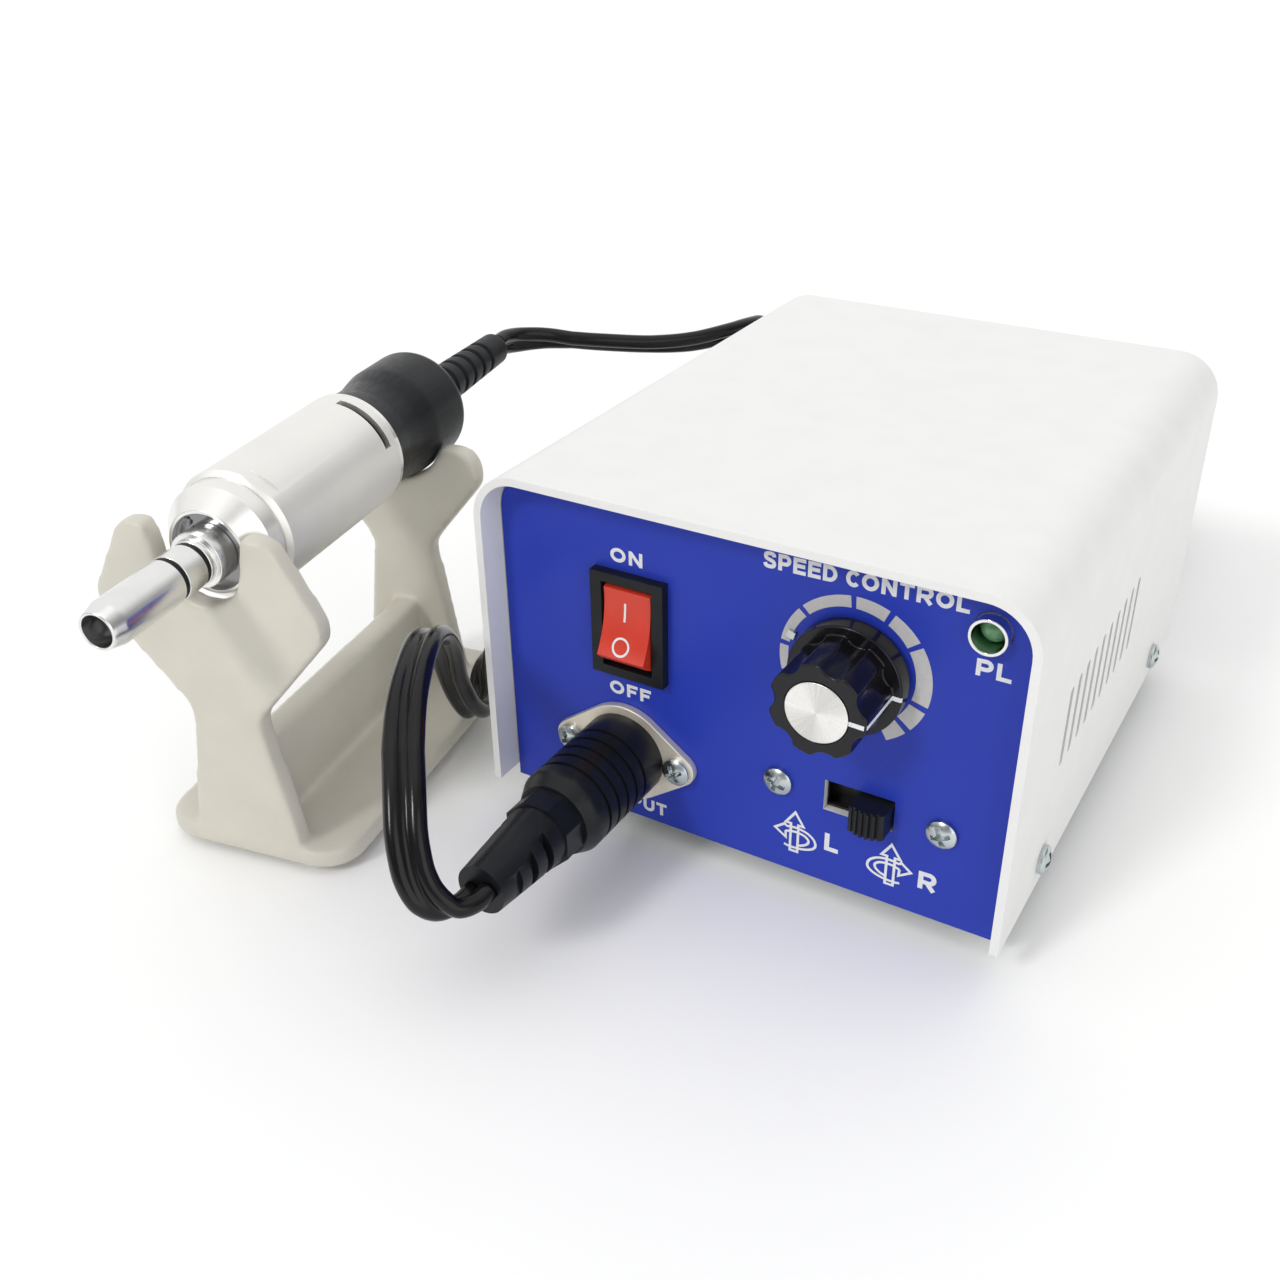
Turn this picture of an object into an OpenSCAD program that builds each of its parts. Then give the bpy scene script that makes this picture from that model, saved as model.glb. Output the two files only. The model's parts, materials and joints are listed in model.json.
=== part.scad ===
// Desktop dental micromotor set: control box, motor handpiece on its rest, and the flex between them.
// Millimetres, +Z up, standing on z = 0.

/* [Case] */
// Outside width of the cover
case_w = 104; // [100:1:130]
// Height of the cover above its lower edge
case_h = 67; // [65:1:90]
// Depth of the cover
case_d = 124; // [122:1:150]
// Thickness of the cover sheet
sheet = 1.5; // [1:0.1:2]
// Outside radius of the cover's top corners
case_r = 9.3; // [6:0.1:12]
// Depth of front and rear panels behind the cover's edges
recess = 6; // [4:0.5:8]
// Gap between the panels and the cover
panel_gap = 0.3; // [0.2:0.1:0.8]
// How far the tray hangs below the cover
tray_drop = 2.3; // [2:0.1:4]
// Thickness of the tray sheet
tray_t = 1.2; // [1:0.1:1.6]
// Height of the tray's side flanges
flange_h = 14; // [12:1:20]
// Height of the tray's front lip
lip_h = 4.5; // [3:0.5:4.5]
// Height of a rubber foot
foot_h = 5; // [4:0.5:8]
// Radius of a rubber foot
foot_r = 6.5; // [5:0.5:9]
// Distance of a foot's centre from the tray's edges
foot_inset = 14; // [10:1:20]

/* [Vents] */
// Number of vent slots on each side
vent_n = 10; // [4:1:14]
// Spacing of the vent slots
vent_pitch = 5; // [4:0.5:6]
// Width of a vent slot
vent_w = 2; // [1:0.5:3]
// Length of a vent slot
vent_l = 16; // [8:1:24]
// Distance of the first slot from the cover's front edge
vent_y = 25; // [20:1:40]
// Height of the slots' middle above the cover's lower edge
vent_z = 32; // [28:1:40]

/* [Screws] */
// Radius of a screw's shank
screw_r = 1.5; // [1.2:0.1:1.6]
// Radius of a pan head
head_r = 2.75; // [2.4:0.05:3.2]
// Height of a pan head
head_h = 1.8; // [1.4:0.1:2.4]
// Radius of the dome of a pan head
dome_r = 4.5; // [3.5:0.5:8]
// Clearance of a shank in its hole
screw_gap = 0.2; // [0.1:0.05:0.4]
// Length of the cross recess
cross_l = 3.6; // [2:0.1:4]
// Width of the cross recess
cross_w = 0.9; // [0.5:0.1:1]
// Depth of the cross recess
cross_d = 1.2; // [0.6:0.1:1.3]
// Shank length of the panel and cover screws
screw_l = 7; // [5:0.5:9]
// Distance of the cover's screws from its front and back edges
cover_screw_y = 22; // [15:1:30]
// Height of the cover's screws above its lower edge
cover_screw_z = 5.6; // [4:0.1:8]

/* [Front panel] */
// Thickness of the front panel
panel_t = 1.6; // [1:0.1:2.5]

/* [Rocker switch] */
// Rocker's middle from the cover's left side
rocker_x = 29.5; // [22:0.5:36]
// Rocker's middle above the cover's lower edge
rocker_z = 40.4; // [36:0.1:44]
// Bezel width
bezel_w = 15; // [14:0.5:18]
// Bezel height
bezel_h = 21; // [20:0.5:24]
// Bezel thickness
bezel_t = 2; // [1.5:0.1:3]
// How far the bezel overlaps the panel's cut-out
bezel_lap = 0.9; // [0.6:0.1:1.2]
// Clearance of a switch body in its cut-out
cutout_gap = 0.1; // [0.05:0.05:0.3]
// Depth of the switch housing behind the panel's face
housing_d = 14; // [12:0.5:20]
// Depth of the housing's well behind the panel's face
well_d = 9; // [8:0.5:11]
// Width of the rocker
rocker_w = 9.7; // [9:0.1:11]
// Radius of the rocker's ends about its pivot
rocker_r = 8.3; // [8:0.1:8.8]
// Clearance between the rocker and its well
rocker_gap = 0.35; // [0.25:0.05:0.6]
// Depth of the pivot behind the panel's face
pivot_d = 2; // [1.5:0.1:3]
// Radius of the pivot pins
pivot_r = 1.2; // [0.8:0.1:1.6]
// Length of a pivot pin
pivot_l = 1.1; // [0.8:0.1:1.4]
// Running clearance of pins and shafts
run_gap = 0.05; // [0.02:0.01:0.1]
// Tilt of the rocker either side of level
rocker_tilt = 13; // [8:1:15]
// Width of a terminal blade
blade_w = 4.8; // [4:0.1:6.3]
// Thickness of a terminal blade
blade_t = 0.8; // [0.5:0.1:1]
// Length of a terminal blade
blade_l = 7; // [5:0.5:9]
// Spacing of the terminal blades
blade_pitch = 9; // [7:0.5:11]

/* [Speed knob] */
// Knob axis from the cover's right side
knob_side = 31.5; // [26:0.5:36]
// Knob axis above the cover's lower edge
knob_z = 44.1; // [42:0.1:47]
// Radius of the skirt
skirt_r = 10.2; // [10:0.1:13]
// Front face of the skirt from the panel
skirt_h = 4.6; // [4:0.1:6]
// Running gap between the knob and the panel
knob_lift = 1; // [0.6:0.1:2]
// Radius of the fluted grip
grip_r = 8.5; // [7.5:0.1:10]
// Front of the knob from the panel
knob_h = 15; // [12:0.5:18]
// Number of flutes
flute_n = 7; // [5:1:9]
// Radius of a flute
flute_r = 3; // [2.5:0.1:5]
// Depth of a flute
flute_d = 1.1; // [0.8:0.1:1.8]
// Radius of the metal cap
cap_r = 5.5; // [4.5:0.1:5.8]
// Thickness of the metal cap
cap_t = 0.9; // [0.6:0.1:1.4]
// Depth of the cap's seat in the knob
cap_seat = 0.7; // [0.4:0.1:1]
// Direction of the knob's pointer, clockwise from the top
pointer_turn = 92; // [-150:1:150]

/* [Potentiometer] */
// Radius of the body
pot_r = 12; // [8:0.5:12.5]
// Depth of the body
pot_d = 10; // [8:0.5:14]
// Radius of the threaded bush
bush_r = 3.5; // [3.4:0.1:4]
// Length of the bush in front of the panel
bush_l = 5; // [4:0.5:5.2]
// Radius of the shaft
shaft_r = 3; // [2.5:0.1:3.1]
// Depth of the shaft's end inside the knob's front
shaft_end = 3; // [2:0.5:5]
// Width across the corners of the nut
nut_w = 11.5; // [10:0.5:13]
// Thickness of the nut
nut_t = 2.2; // [1.5:0.1:3]
// Distance of the locating tab from the shaft
tab_x = 12; // [9:0.5:12.2]
// Direction of the locating tab, clockwise from the top
tab_turn = -72; // [-90:1:90]
// Width of the locating tab
tab_w = 1.4; // [1:0.1:2]
// How far the tab stands out of the panel
tab_h = 0.7; // [0.4:0.1:0.9]

/* [Pilot lamp] */
// Lamp from the cover's right side
lamp_side = 9.5; // [8:0.5:12]
// Lamp above the cover's lower edge
lamp_z = 57.6; // [50:0.1:58]
// Outside radius of the lamp's sleeve
sleeve_r = 3.2; // [2.9:0.1:3.4]
// Radius of the lamp
lamp_r = 2.5; // [1.5:0.1:2.6]
// Gap between lamp and sleeve
lamp_gap = 0.14; // [0.08:0.02:0.2]
// How far the sleeve stands out of the panel
sleeve_out = 2.4; // [1.5:0.1:3]
// Depth of the sleeve's back end
sleeve_d = 9; // [8:0.5:12]
// Length of the lamp in front of its rim
lamp_l = 9.6; // [8:0.1:10]
// Width of the lamp's rim and the sleeve's flange
rim_w = 1.2; // [0.4:0.1:1.6]
// Thickness of the lamp's rim and the sleeve's flange
rim_t = 1; // [0.6:0.1:1.5]

/* [Direction switch] */
// Slot's middle from the cover's right side
slide_side = 28.8; // [26:0.1:34]
// Slot's middle above the cover's lower edge
slide_z = 17; // [15:0.1:19]
// Width of the slot
slot_w = 13.1; // [12.8:0.1:16]
// Height of the slot
slot_h = 6.4; // [6:0.1:8]
// Width of the slider
slider_w = 6.6; // [5:0.1:7]
// Height of the slider
slider_h = 5.3; // [4.5:0.1:5.6]
// How far the slider stands out of the panel
slider_out = 5.2; // [4:0.1:7]
// Radius of the slider's rounded front
slider_curve = 5; // [4.6:0.1:8]
// Number of ribs on the slider
rib_n = 6; // [3:1:8]
// Depth of the grooves between the ribs
rib_d = 0.5; // [0.3:0.1:0.8]
// Travel of the slider
slide_travel = 6; // [4:0.1:6.2]
// Width of the switch's frame plate
frame_w = 37; // [36.5:0.5:40]
// Distance of the switch's screws from the ends of its plate
frame_end = 3.15; // [2.5:0.05:3.5]
// Distance of the switch's body from the ends of its plate
body_inset = 6.5; // [6:0.1:7]
// Height of the switch's frame plate
frame_h = 13; // [12:0.5:14]
// Depth of the switch's body
body_d = 10; // [8:0.5:14]
// Thickness of the slider's foot
shoe_t = 2; // [1.5:0.1:3]
// Reach of the slider's foot past the slider
shoe_lap = 0.9; // [0.6:0.1:1.2]
// Thickness of the frame plate
frame_t = 0.8; // [0.6:0.1:1.2]

/* [Output socket] */
// Socket from the cover's left side
socket_x = 28; // [24:0.5:34]
// Socket above the cover's lower edge
socket_z = 12.7; // [12:0.1:14]
// Radius of the flange's round middle
flange_r = 10.3; // [9.5:0.1:12]
// Radius of the flange's ends
flange_end_r = 3.4; // [3:0.1:4]
// Spacing of the flange's screws
socket_pitch = 23.4; // [22:0.1:26]
// Thickness of the flange
flange_t = 1.6; // [1:0.1:2.5]
// Outside radius of the shell behind the flange
shell_r = 8.4; // [8:0.1:8.5]
// Depth of the shell behind the panel's face
shell_d = 10; // [9:0.5:14]
// Outside radius of the plug's metal sleeve
plug_sleeve_r = 6.6; // [6:0.1:7]
// Wall of the plug's metal sleeve
plug_sleeve_t = 0.5; // [0.4:0.1:0.7]
// Length of the sleeve inside the socket
plug_sleeve_l = 8; // [6:0.5:8.5]
// Gap either side of the plug's sleeve
plug_gap = 0.3; // [0.2:0.05:0.5]
// Thickness of the insert's base
insert_t = 3; // [2:0.5:5]
// Radius of a contact pin
pin_r = 0.72; // [0.5:0.02:0.8]
// Radius of the circle of pins
pin_circle = 3.5; // [3:0.1:4]
// Number of pins
pin_n = 5; // [3:1:7]
// Angle between neighbouring pins
pin_step = 45; // [40:1:50]
// Length of the solder tags
tag_l = 5; // [3:0.5:7]

/* [Plug] */
// Radius of the plug
plug_r = 8.6; // [8:0.1:9.5]
// Length of the plug's round grip
grip_l = 21; // [16:1:26]
// Number of grooves round the grip
groove_n = 5; // [2:1:5]
// Spacing of the grooves
groove_pitch = 3; // [2.5:0.1:3.5]
// Width of a groove
groove_w = 0.8; // [0.5:0.1:1.2]
// Depth of a groove
groove_d = 0.5; // [0.3:0.1:0.8]
// Length of the shoulder behind the grip
shoulder_l = 3; // [2:0.5:5]
// Radius across the corners of the eight-sided neck
neck_r = 6.9; // [6:0.1:8]
// Steps either side of the eight-sided neck
neck_step = 0.3; // [0.2:0.1:0.5]
// Length of the eight-sided neck
neck_l = 5; // [3:0.5:8]
// Length of the slotted strain relief
relief_l = 16.4; // [12:0.1:24]
// Radius at the end of the strain relief
relief_end_r = 4.7; // [4.4:0.1:6]
// Number of slots in each side of the strain relief
relief_n = 3; // [2:1:4]
// Width of a slot in the strain relief
relief_slot = 1.6; // [1:0.1:2]
// Depth of a slot in the strain relief
relief_d = 1.6; // [1:0.1:2]

/* [Rear fittings] */
// Mains inlet from the cover's right side
inlet_side = 36; // [30:1:44]
// Mains inlet above the cover's lower edge
inlet_z = 30; // [22:1:40]
// Inlet flange width
inlet_w = 50; // [48:1:52]
// Inlet flange height
inlet_h = 24; // [23:0.5:26]
// Inlet flange thickness
inlet_t = 3; // [2:0.5:4]
// Spacing of the inlet's screws
inlet_pitch = 40; // [39.5:0.1:40.5]
// Width of the inlet's body
inlet_body_w = 29; // [28.4:0.1:30]
// Height of the inlet's body
inlet_body_h = 21; // [20.4:0.1:22]
// Width of the inlet's mouth
mouth_w = 24.2; // [24:0.1:25]
// Height of the inlet's mouth
mouth_h = 16.6; // [16.4:0.1:17]
// Depth of the inlet's mouth
mouth_d = 17; // [16:0.5:18]
// Depth of the inlet's body behind the flange
inlet_d = 17; // [16:0.5:20]
// Size of a flat inlet pin
pin_flat = 4; // [3:0.1:4.2]
// Thickness of a flat inlet pin
pin_flat_t = 2; // [1.6:0.1:2.2]
// Spacing of the outer inlet pins
pin_flat_pitch = 14; // [13:0.1:14.5]
// Rise of the middle inlet pin
pin_flat_rise = 4; // [3:0.1:4.5]
// Fuse holder from the cover's left side
fuse_x = 22; // [18:1:26]
// Fuse holder above the cover's lower edge
fuse_z = 17; // [15:1:24]
// Radius of the fuse holder's body
fuse_body_r = 6; // [5.5:0.1:6.5]
// Length of the fuse holder behind the wall
fuse_body_l = 26; // [24.5:0.5:28]
// Wall of the fuse holder
fuse_wall = 1.2; // [0.8:0.1:1.6]
// Radius of the fuse holder's flange
fuse_flange_r = 8; // [7:0.5:10]
// Thickness of the fuse holder's flange
fuse_flange_t = 2; // [1.5:0.5:3]
// Radius of the fuse
fuse_r = 2.6; // [2:0.1:3.2]
// Length of the fuse
fuse_l = 20; // [18:1:22]
// Radius of the fuse cap
fuse_cap_r = 6.6; // [6:0.1:7.5]
// Height of the fuse cap
fuse_cap_h = 9; // [6:0.5:9.5]
// Pedal jack from the cover's left side
jack_x = 22; // [18:1:26]
// Pedal jack above the cover's lower edge
jack_z = 42; // [38:1:46]
// Radius of the jack's bore
jack_r = 3.2; // [2.5:0.05:3.3]
// Length of the jack's bore
jack_l = 18; // [14:1:22]
// Radius of the jack's threaded bush
jack_bush_r = 4.7; // [4.4:0.1:5.5]
// Length of the jack's bush outside the wall
jack_bush_l = 5; // [4:0.5:5.8]
// Half width of the jack's body
jack_body = 8; // [7:0.5:9]
// Width across the corners of the jack's nut
jack_nut_w = 15; // [14:0.5:17]
// Thickness of the jack's nut
jack_nut_t = 2.5; // [2:0.1:3.5]

/* [Transformer] */
// Left side of the core from the cover's left side
core_x = 16; // [12:1:18]
// Front of the core from the cover's front edge
core_y = 38; // [37:1:40]
// Length of the core
core_l = 48; // [44:1:48]
// Height of the core
core_h = 42; // [36:1:46]
// Stack of the core
core_d = 22; // [16:1:24]
// Width of the core's yokes and outer legs
yoke = 8; // [6:0.5:9]
// Width of the core's middle leg
leg = 16; // [12:0.5:16]
// Gap between winding and core
wind_gap = 0.2; // [0.1:0.05:0.5]
// Thickness of the bracket's strap
strap_t = 1.2; // [1:0.1:2]
// Width of the bracket's strap
strap_w = 14; // [10:1:18]
// Length of the bracket's feet
strap_foot = 9; // [8:0.5:10]

/* [Control board] */
// Right edge of the board from the cover's right side
board_side = 8; // [6:1:9]
// Front edge of the board from the cover's front edge
board_y = 34; // [30:1:38]
// Width of the board
board_w = 38; // [34:1:39]
// Length of the board
board_l = 62; // [56:1:64]
// Thickness of the board
board_t = 1.6; // [1:0.1:2]
// Height of the standoffs
post_h = 8; // [6:0.5:12]
// Radius of the standoffs
post_r = 3; // [2.8:0.1:3.5]
// Distance of the standoffs from the board's edges
post_inset = 4; // [3.5:0.5:6]
// Radius of the large capacitor
can_r = 7; // [5:0.5:8]
// Height of the capacitors
can_h = 22; // [15:1:26]
// Height of the heat sink
sink_h = 26; // [18:1:30]
// Length of the heat sink
sink_l = 24; // [18:1:26]
// Depth of the heat sink
sink_d = 10; // [8:0.5:12]
// Thickness of the heat sink's walls
sink_t = 1.6; // [1.2:0.1:2.5]
// Width of the power transistor
chip_w = 10; // [8:0.5:11]
// Height of the power transistor
chip_h = 16; // [12:0.5:17]
// Thickness of the power transistor
chip_t = 4.4; // [3:0.1:5]

/* [Handpiece] */
// Front end of the tail cap from the cover's left side
hand_x = -40.5; // [-60:0.5:-38]
// Front end of the tail cap from the cover's front edge
hand_y = 13; // [0:0.5:20]
// Height of the motor's axis
axis_h = 64.8; // [50:0.1:80]
// Turn of the handpiece, nose towards the control box
hand_turn = 10.4; // [0:0.1:12]
// Outside radius of the motor's sleeve
motor_r = 12; // [11.8:0.1:14]
// Wall of the motor's sleeve
motor_wall = 1.2; // [1:0.1:1.3]
// Length of the motor's sleeve
motor_l = 40.2; // [38:0.1:46]
// Chamfer of the sleeve's front edge
motor_chamfer = 0.9; // [0.4:0.1:1]
// Position of the arc slot along the sleeve
window_s = 3; // [2:0.1:4]
// Width of the arc slot
window_w = 1.9; // [1:0.1:2.5]
// Angle where the arc slot starts, from the top
window_from = 6; // [0:1:20]
// Angle that the arc slot spans
window_angle = 66; // [30:1:90]
// Width of the spanner flat at the sleeve's front
notch_w = 7; // [4:0.5:9]
// Length of the spanner flat
notch_l = 2.6; // [1.5:0.1:4]
// Depth of the spanner flat
notch_d = 0.4; // [0.4:0.1:0.9]
// Angle of the spanner flat from the top
notch_turn = 32; // [0:1:60]
// Radius of the nose cap's land
nose_r = 10.9; // [10.6:0.1:11.6]
// Length of the nose cap's land
nose_land = 3.6; // [3:0.1:6]
// Length of the nose cap's taper
nose_taper = 3.8; // [3.6:0.1:6]
// Radius of the nose cap's front edge
nose_end_r = 7.9; // [7.8:0.1:9]
// Depth of the hollow in the nose cap's face
nose_dish = 1.2; // [0.6:0.1:1.6]
// Width of the rim round the hollow
nose_rim = 0.6; // [0.4:0.1:0.9]
// Length of the nose cap's spigot inside the sleeve
nose_plug = 10; // [9.5:0.5:14]
// Clearance of the spigot inside the sleeve
nose_gap = 0.15; // [0.1:0.05:0.3]
// Radius of the boss at the coupling's root
boss_r = 5.2; // [5:0.1:5.4]
// Length of the boss
boss_l = 4.6; // [2:0.1:6]
// Radius of the coupling's spigot
coupling_r = 4.2; // [4:0.05:4.5]
// Distance of the coupling's tip from the tail cap
tip_s = 76.6; // [72:0.1:82]
// Radius of the coupling's bore
coupling_bore = 2.9; // [2.7:0.1:3.2]
// Chamfer at the coupling's tip
tip_chamfer = 0.8; // [0.4:0.1:1.2]
// Distance of the tip's taper from the tip
tip_taper = 3.2; // [2:0.1:5]
// Position of the coupling's first ring
ring_s = 52.3; // [52:0.1:54]
// Spacing of the coupling's two rings
ring_pitch = 5.9; // [4:0.1:8]
// Width of a ring
ring_w = 1; // [0.6:0.1:1.6]
// Depth of a ring's groove
ring_d = 0.5; // [0.3:0.1:0.7]
// How far a ring lies below the spigot's surface
ring_sunk = 0.15; // [0:0.05:0.3]
// Radius of the nose screw's head
dot_r = 0.8; // [0.6:0.1:0.9]
// Distance of the nose screw from the axis
dot_off = 6.3; // [6.2:0.1:6.4]
// Height of the nose screw's head
dot_h = 0.5; // [0.3:0.1:0.9]
// Length of the nose screw's shank
dot_l = 2.4; // [1.5:0.1:3]
// Angle of the nose screw from the top, towards the left
dot_turn = 40; // [0:1:90]

/* [Tail] */
// Length of the tail cap
tail_l = 29; // [27:0.5:36]
// Radius of the tail cap's body
tail_r = 11.9; // [11:0.1:11.9]
// Radius of the tail cap's waist
waist_r = 10.8; // [10.8:0.1:11.4]
// Distance of the waist from the tail cap's front end
waist_s = 6; // [3:0.5:6]
// Length of the waist
waist_l = 4; // [1:0.5:4]
// Length of the rise behind the waist
waist_rise = 6; // [3:0.5:6]
// How far the tail cap's front edge lies below the sleeve
tail_step = 0.4; // [0.2:0.1:0.6]
// Rounding of the tail cap's back edge
tail_round = 3; // [2:0.5:5]
// Wall of the tail cap
tail_wall = 1.6; // [1.2:0.1:1.8]
// Radius of the boot at the tail cap
boot_r = 4.6; // [4.2:0.1:5.5]
// Radius of the boot at its end
boot_end_r = 3.7; // [3.6:0.1:4]
// Length of the boot
boot_l = 37; // [30:1:42]
// Number of grooves in the boot
boot_n = 6; // [4:1:8]
// Width of a groove in the boot
boot_groove = 1.4; // [0.8:0.1:1.8]
// Depth of a groove in the boot
boot_d = 0.6; // [0.3:0.1:0.9]

/* [Motor inside] */
// Radius of the rotor's shaft
rotor_r = 1.5; // [1.2:0.1:2]
// Radius of the armature
armature_r = 6.4; // [5.5:0.1:6.6]
// Length of the armature
armature_l = 22; // [18:1:24]
// Position of the armature's back end
armature_s = 4; // [3:0.5:5]
// Number of armature slots
armature_n = 7; // [5:1:9]
// Width of an armature slot
armature_slot = 1.2; // [0.8:0.1:1.6]
// Overhang of the winding at each end
wind_end = 2.4; // [1.5:0.1:2.6]
// Air gap between armature and magnets
air_gap = 0.4; // [0.3:0.1:0.8]
// Angle that a magnet spans
magnet_angle = 130; // [100:5:150]
// Outside radius of a bearing
bearing_r = 4.5; // [4:0.1:5]
// Width of a bearing
bearing_w = 4; // [3:0.5:5]
// Radius of the commutator
comm_r = 4; // [3:0.1:4.5]
// Length of the commutator
comm_l = 6; // [4:0.5:7]
// Position of the commutator's front end
comm_s = -1; // [-2:0.5:0]
// Width of a brush
brush_w = 3; // [2:0.1:4]
// Length of a brush
brush_l = 4; // [3:0.5:5]
// Wall of a brush holder
holder_wall = 0.8; // [0.5:0.1:1.2]
// Gap between brush and commutator
brush_gap = 0.3; // [0.25:0.05:0.5]
// Gap between brush holder and commutator
holder_gap = 1; // [0.8:0.1:1.5]
// Length of the drive dog
dog_l = 6; // [4:0.5:8]
// Radius of the drive dog
dog_r = 2.2; // [2:0.1:2.4]
// Position of the drive dog's front end
dog_s = 70; // [64:0.5:71]
// Width of the drive dog's slot
dog_slot = 1.2; // [0.8:0.1:1.6]

/* [Handpiece rest] */
// Half width of the rest's base
rest_w = 21; // [19.5:0.5:26]
// Thickness of the rest's base
rest_t = 4; // [3:0.5:6]
// Rounding of the base's corners
rest_r = 8; // [4:0.5:10]
// Front end of the base from the tail cap's front end
rest_front = 52; // [50:1:60]
// Back end of the base from the tail cap's front end
rest_back = 27; // [26:1:34]
// Thickness of a fork
fork_t = 4.5; // [3:0.5:5]
// Half width of the front fork
fork_w = 24.5; // [22:0.5:27]
// Half width of the rear fork
rear_w = 20.5; // [19.5:0.5:24]
// Depth of a fork's widest place below the motor's axis
fork_drop = 11; // [9:0.5:13]
// Rounding of a fork's outline
fork_round = 5; // [3:0.5:5.5]
// Width of an ear at its top
ear_w = 6.5; // [5:0.5:8]
// How far the front ears open out towards their tops
ear_flare = 1.5; // [1:0.5:3]
// Half width of a fork's stem
stem_w = 7; // [6:0.5:10]
// Half width of a fork's foot
foot_w = 12; // [10:0.5:15]
// Height of the front ears above the motor's axis
ear_h = 6; // [4:0.5:9]
// Depth of the rear ears below the motor's axis
ear_drop = 4; // [3:0.5:5]
// Gap between the handpiece and the forks
fork_gap = 0.3; // [0.2:0.05:0.5]
// Back face of the front fork from the tail cap's front end
fork_front = 47.2; // [45:0.1:47.4]
// Front face of the rear fork behind the tail cap's front end
fork_back = 15; // [13:0.5:17]
// Width of the web between the forks
web_w = 6; // [4:0.5:10]
// Height of the web above the table
web_h = 22; // [12:1:30]
// Height of the soft pads under the base
pad_h = 1.5; // [1:0.1:2.5]
// Radius of a soft pad
pad_r = 4; // [3:0.5:6]

/* [Flex] */
// Width of the twin flex
flex_w = 7.2; // [6:0.1:7.3]
// Thickness of the twin flex
flex_t = 3.4; // [2.6:0.1:3.5]
// Outside spiral radius of the stored coil
coil_r = 40.5; // [38:0.5:44]
// Turns in each layer of the coil
coil_n = 2.125; // [2.125:1:3.125]
// Gap between neighbouring turns
turn_gap = 0.6; // [0.5:0.05:1]
// Gap between the coil's layers
layer_gap = 0.5; // [0.45:0.05:1]
// Height of the coil's underside
coil_lift = 1.1; // [1:0.1:2]
// Thickness of the tie
tie_t = 0.8; // [0.5:0.1:0.8]
// Width of the tie
tie_w = 5; // [3:0.5:10]

/* [Hidden] */
$fn = 48;
eps = 0.01;

// Heights and widths that follow from the case
cover_z = foot_h + tray_drop;
floor_z = foot_h + tray_t;
tray_w = case_w - 2 * sheet;
tray_y = recess + panel_t;
rear_y = case_d - recess;
panel_x = sheet + panel_gap;
panel_w = case_w - 2 * panel_x;
panel_h = tray_drop + case_h - panel_x;
panel_r = case_r - panel_x;
hole_r = screw_r + screw_gap;

// Places that follow the cover's right side
knob_x = case_w - knob_side;
lamp_x = case_w - lamp_side;
slide_x = case_w - slide_side;
inlet_x = case_w - inlet_side;
board_x = case_w - board_side - board_w;

// Footprint of everything but the flex, whose middle is the origin
left_end = hand_x - rest_w * cos(hand_turn) - rest_back * sin(hand_turn);
right_end = case_w + head_h;
front_end = hand_y - tip_s * cos(hand_turn) - (coupling_r - tip_chamfer) * sin(hand_turn);
back_end = rear_y + fuse_flange_t + fuse_cap_h;
origin_x = (left_end + right_end) / 2;
origin_y = (front_end + back_end) / 2;

// Fits that follow from the sizes above
cutout_w = bezel_w - 2 * bezel_lap;
cutout_h = bezel_h - 2 * bezel_lap;
well_w = rocker_w + 2 * rocker_gap;
well_h = 2 * (rocker_r + rocker_gap);
valley = (pivot_d + bezel_t) / cos(rocker_tilt);
dish_r = rocker_r / sin(2 * rocker_tilt);
grip_front = knob_h - cap_seat;
slide_pitch = frame_w - 2 * frame_end;
body_w = frame_w - 2 * body_inset;
socket_bore = plug_sleeve_r + plug_gap;
core_bore = plug_sleeve_r - plug_sleeve_t - plug_gap;
motor_in = motor_r - motor_wall;
nose_front = motor_l + nose_land + nose_taper;
nose_floor = nose_front - nose_dish;
boss_front = nose_floor + boss_l;
nose_seat = nose_end_r + (nose_r - nose_end_r) * (nose_front - fork_front) / nose_taper;
magnet_in = armature_r + air_gap;
bearing_in = rotor_r + run_gap;
bearing_front = motor_l - nose_plug;
rear_bearing = comm_s - comm_l - bearing_w - 1;
window_l = (core_l - leg - 2 * yoke) / 2;
wind_wall = window_l - wind_gap;
turn_pitch = flex_t + turn_gap;
layer_pitch = flex_w + layer_gap;
coil_in = coil_r - turn_pitch * coil_n;
coil_turns = 2 * coil_n + 0.5;
coil_rings = 24;
coil_sides = 6;
flex_sides = 8;
flex_flat = 180 / flex_sides;
neck_sides = 8;
neck_flat = 180 / neck_sides;
coil_z = coil_lift + flex_w / 2;

// Where the stored coil lies, behind the control box
coil_at = [46, 178, 0];
coil_start = 180;

// Route of the flex from the plug to the coil, and which way its broad side faces
front_route = [
    [28, -41, 20], [27.8, -44.6, 19.8], [26.2, -47.8, 20.4], [23.8, -49.5, 22.8], [21.5, -49.3, 25.9],
    [19.6, -48, 29], [17.9, -46.3, 32], [16.4, -44.3, 34.7], [14.7, -42, 37.3], [12.9, -39.6, 39.5],
    [11, -37, 41.5], [6.4, -30, 44.5], [1.6, -21.5, 46],
    [-2.7, -13.5, 45.4], [-6.6, -6, 41.2], [-9.8, 0, 34], [-12.5, 4.5, 25], [-13.7, 8.8, 16.2],
    [-15, 14, 10.2], [-18, 20.5, 9.5], [-22, 26.5, 12], [-24, 33, 13], [-22.8, 41, 11.2],
    [-18.5, 50, 7.8], [-14, 60, 5.2], [-11.5, 74, 4.7], [-10.5, 91, 4.7], [-10, 109, 4.7],
    [-7.5, 126, 4.7], [-2, 143, 4.7], [3, 156, 4.7], [5.5, 165, 4.7], [5.5, 170.8, 4.7],
];
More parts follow.
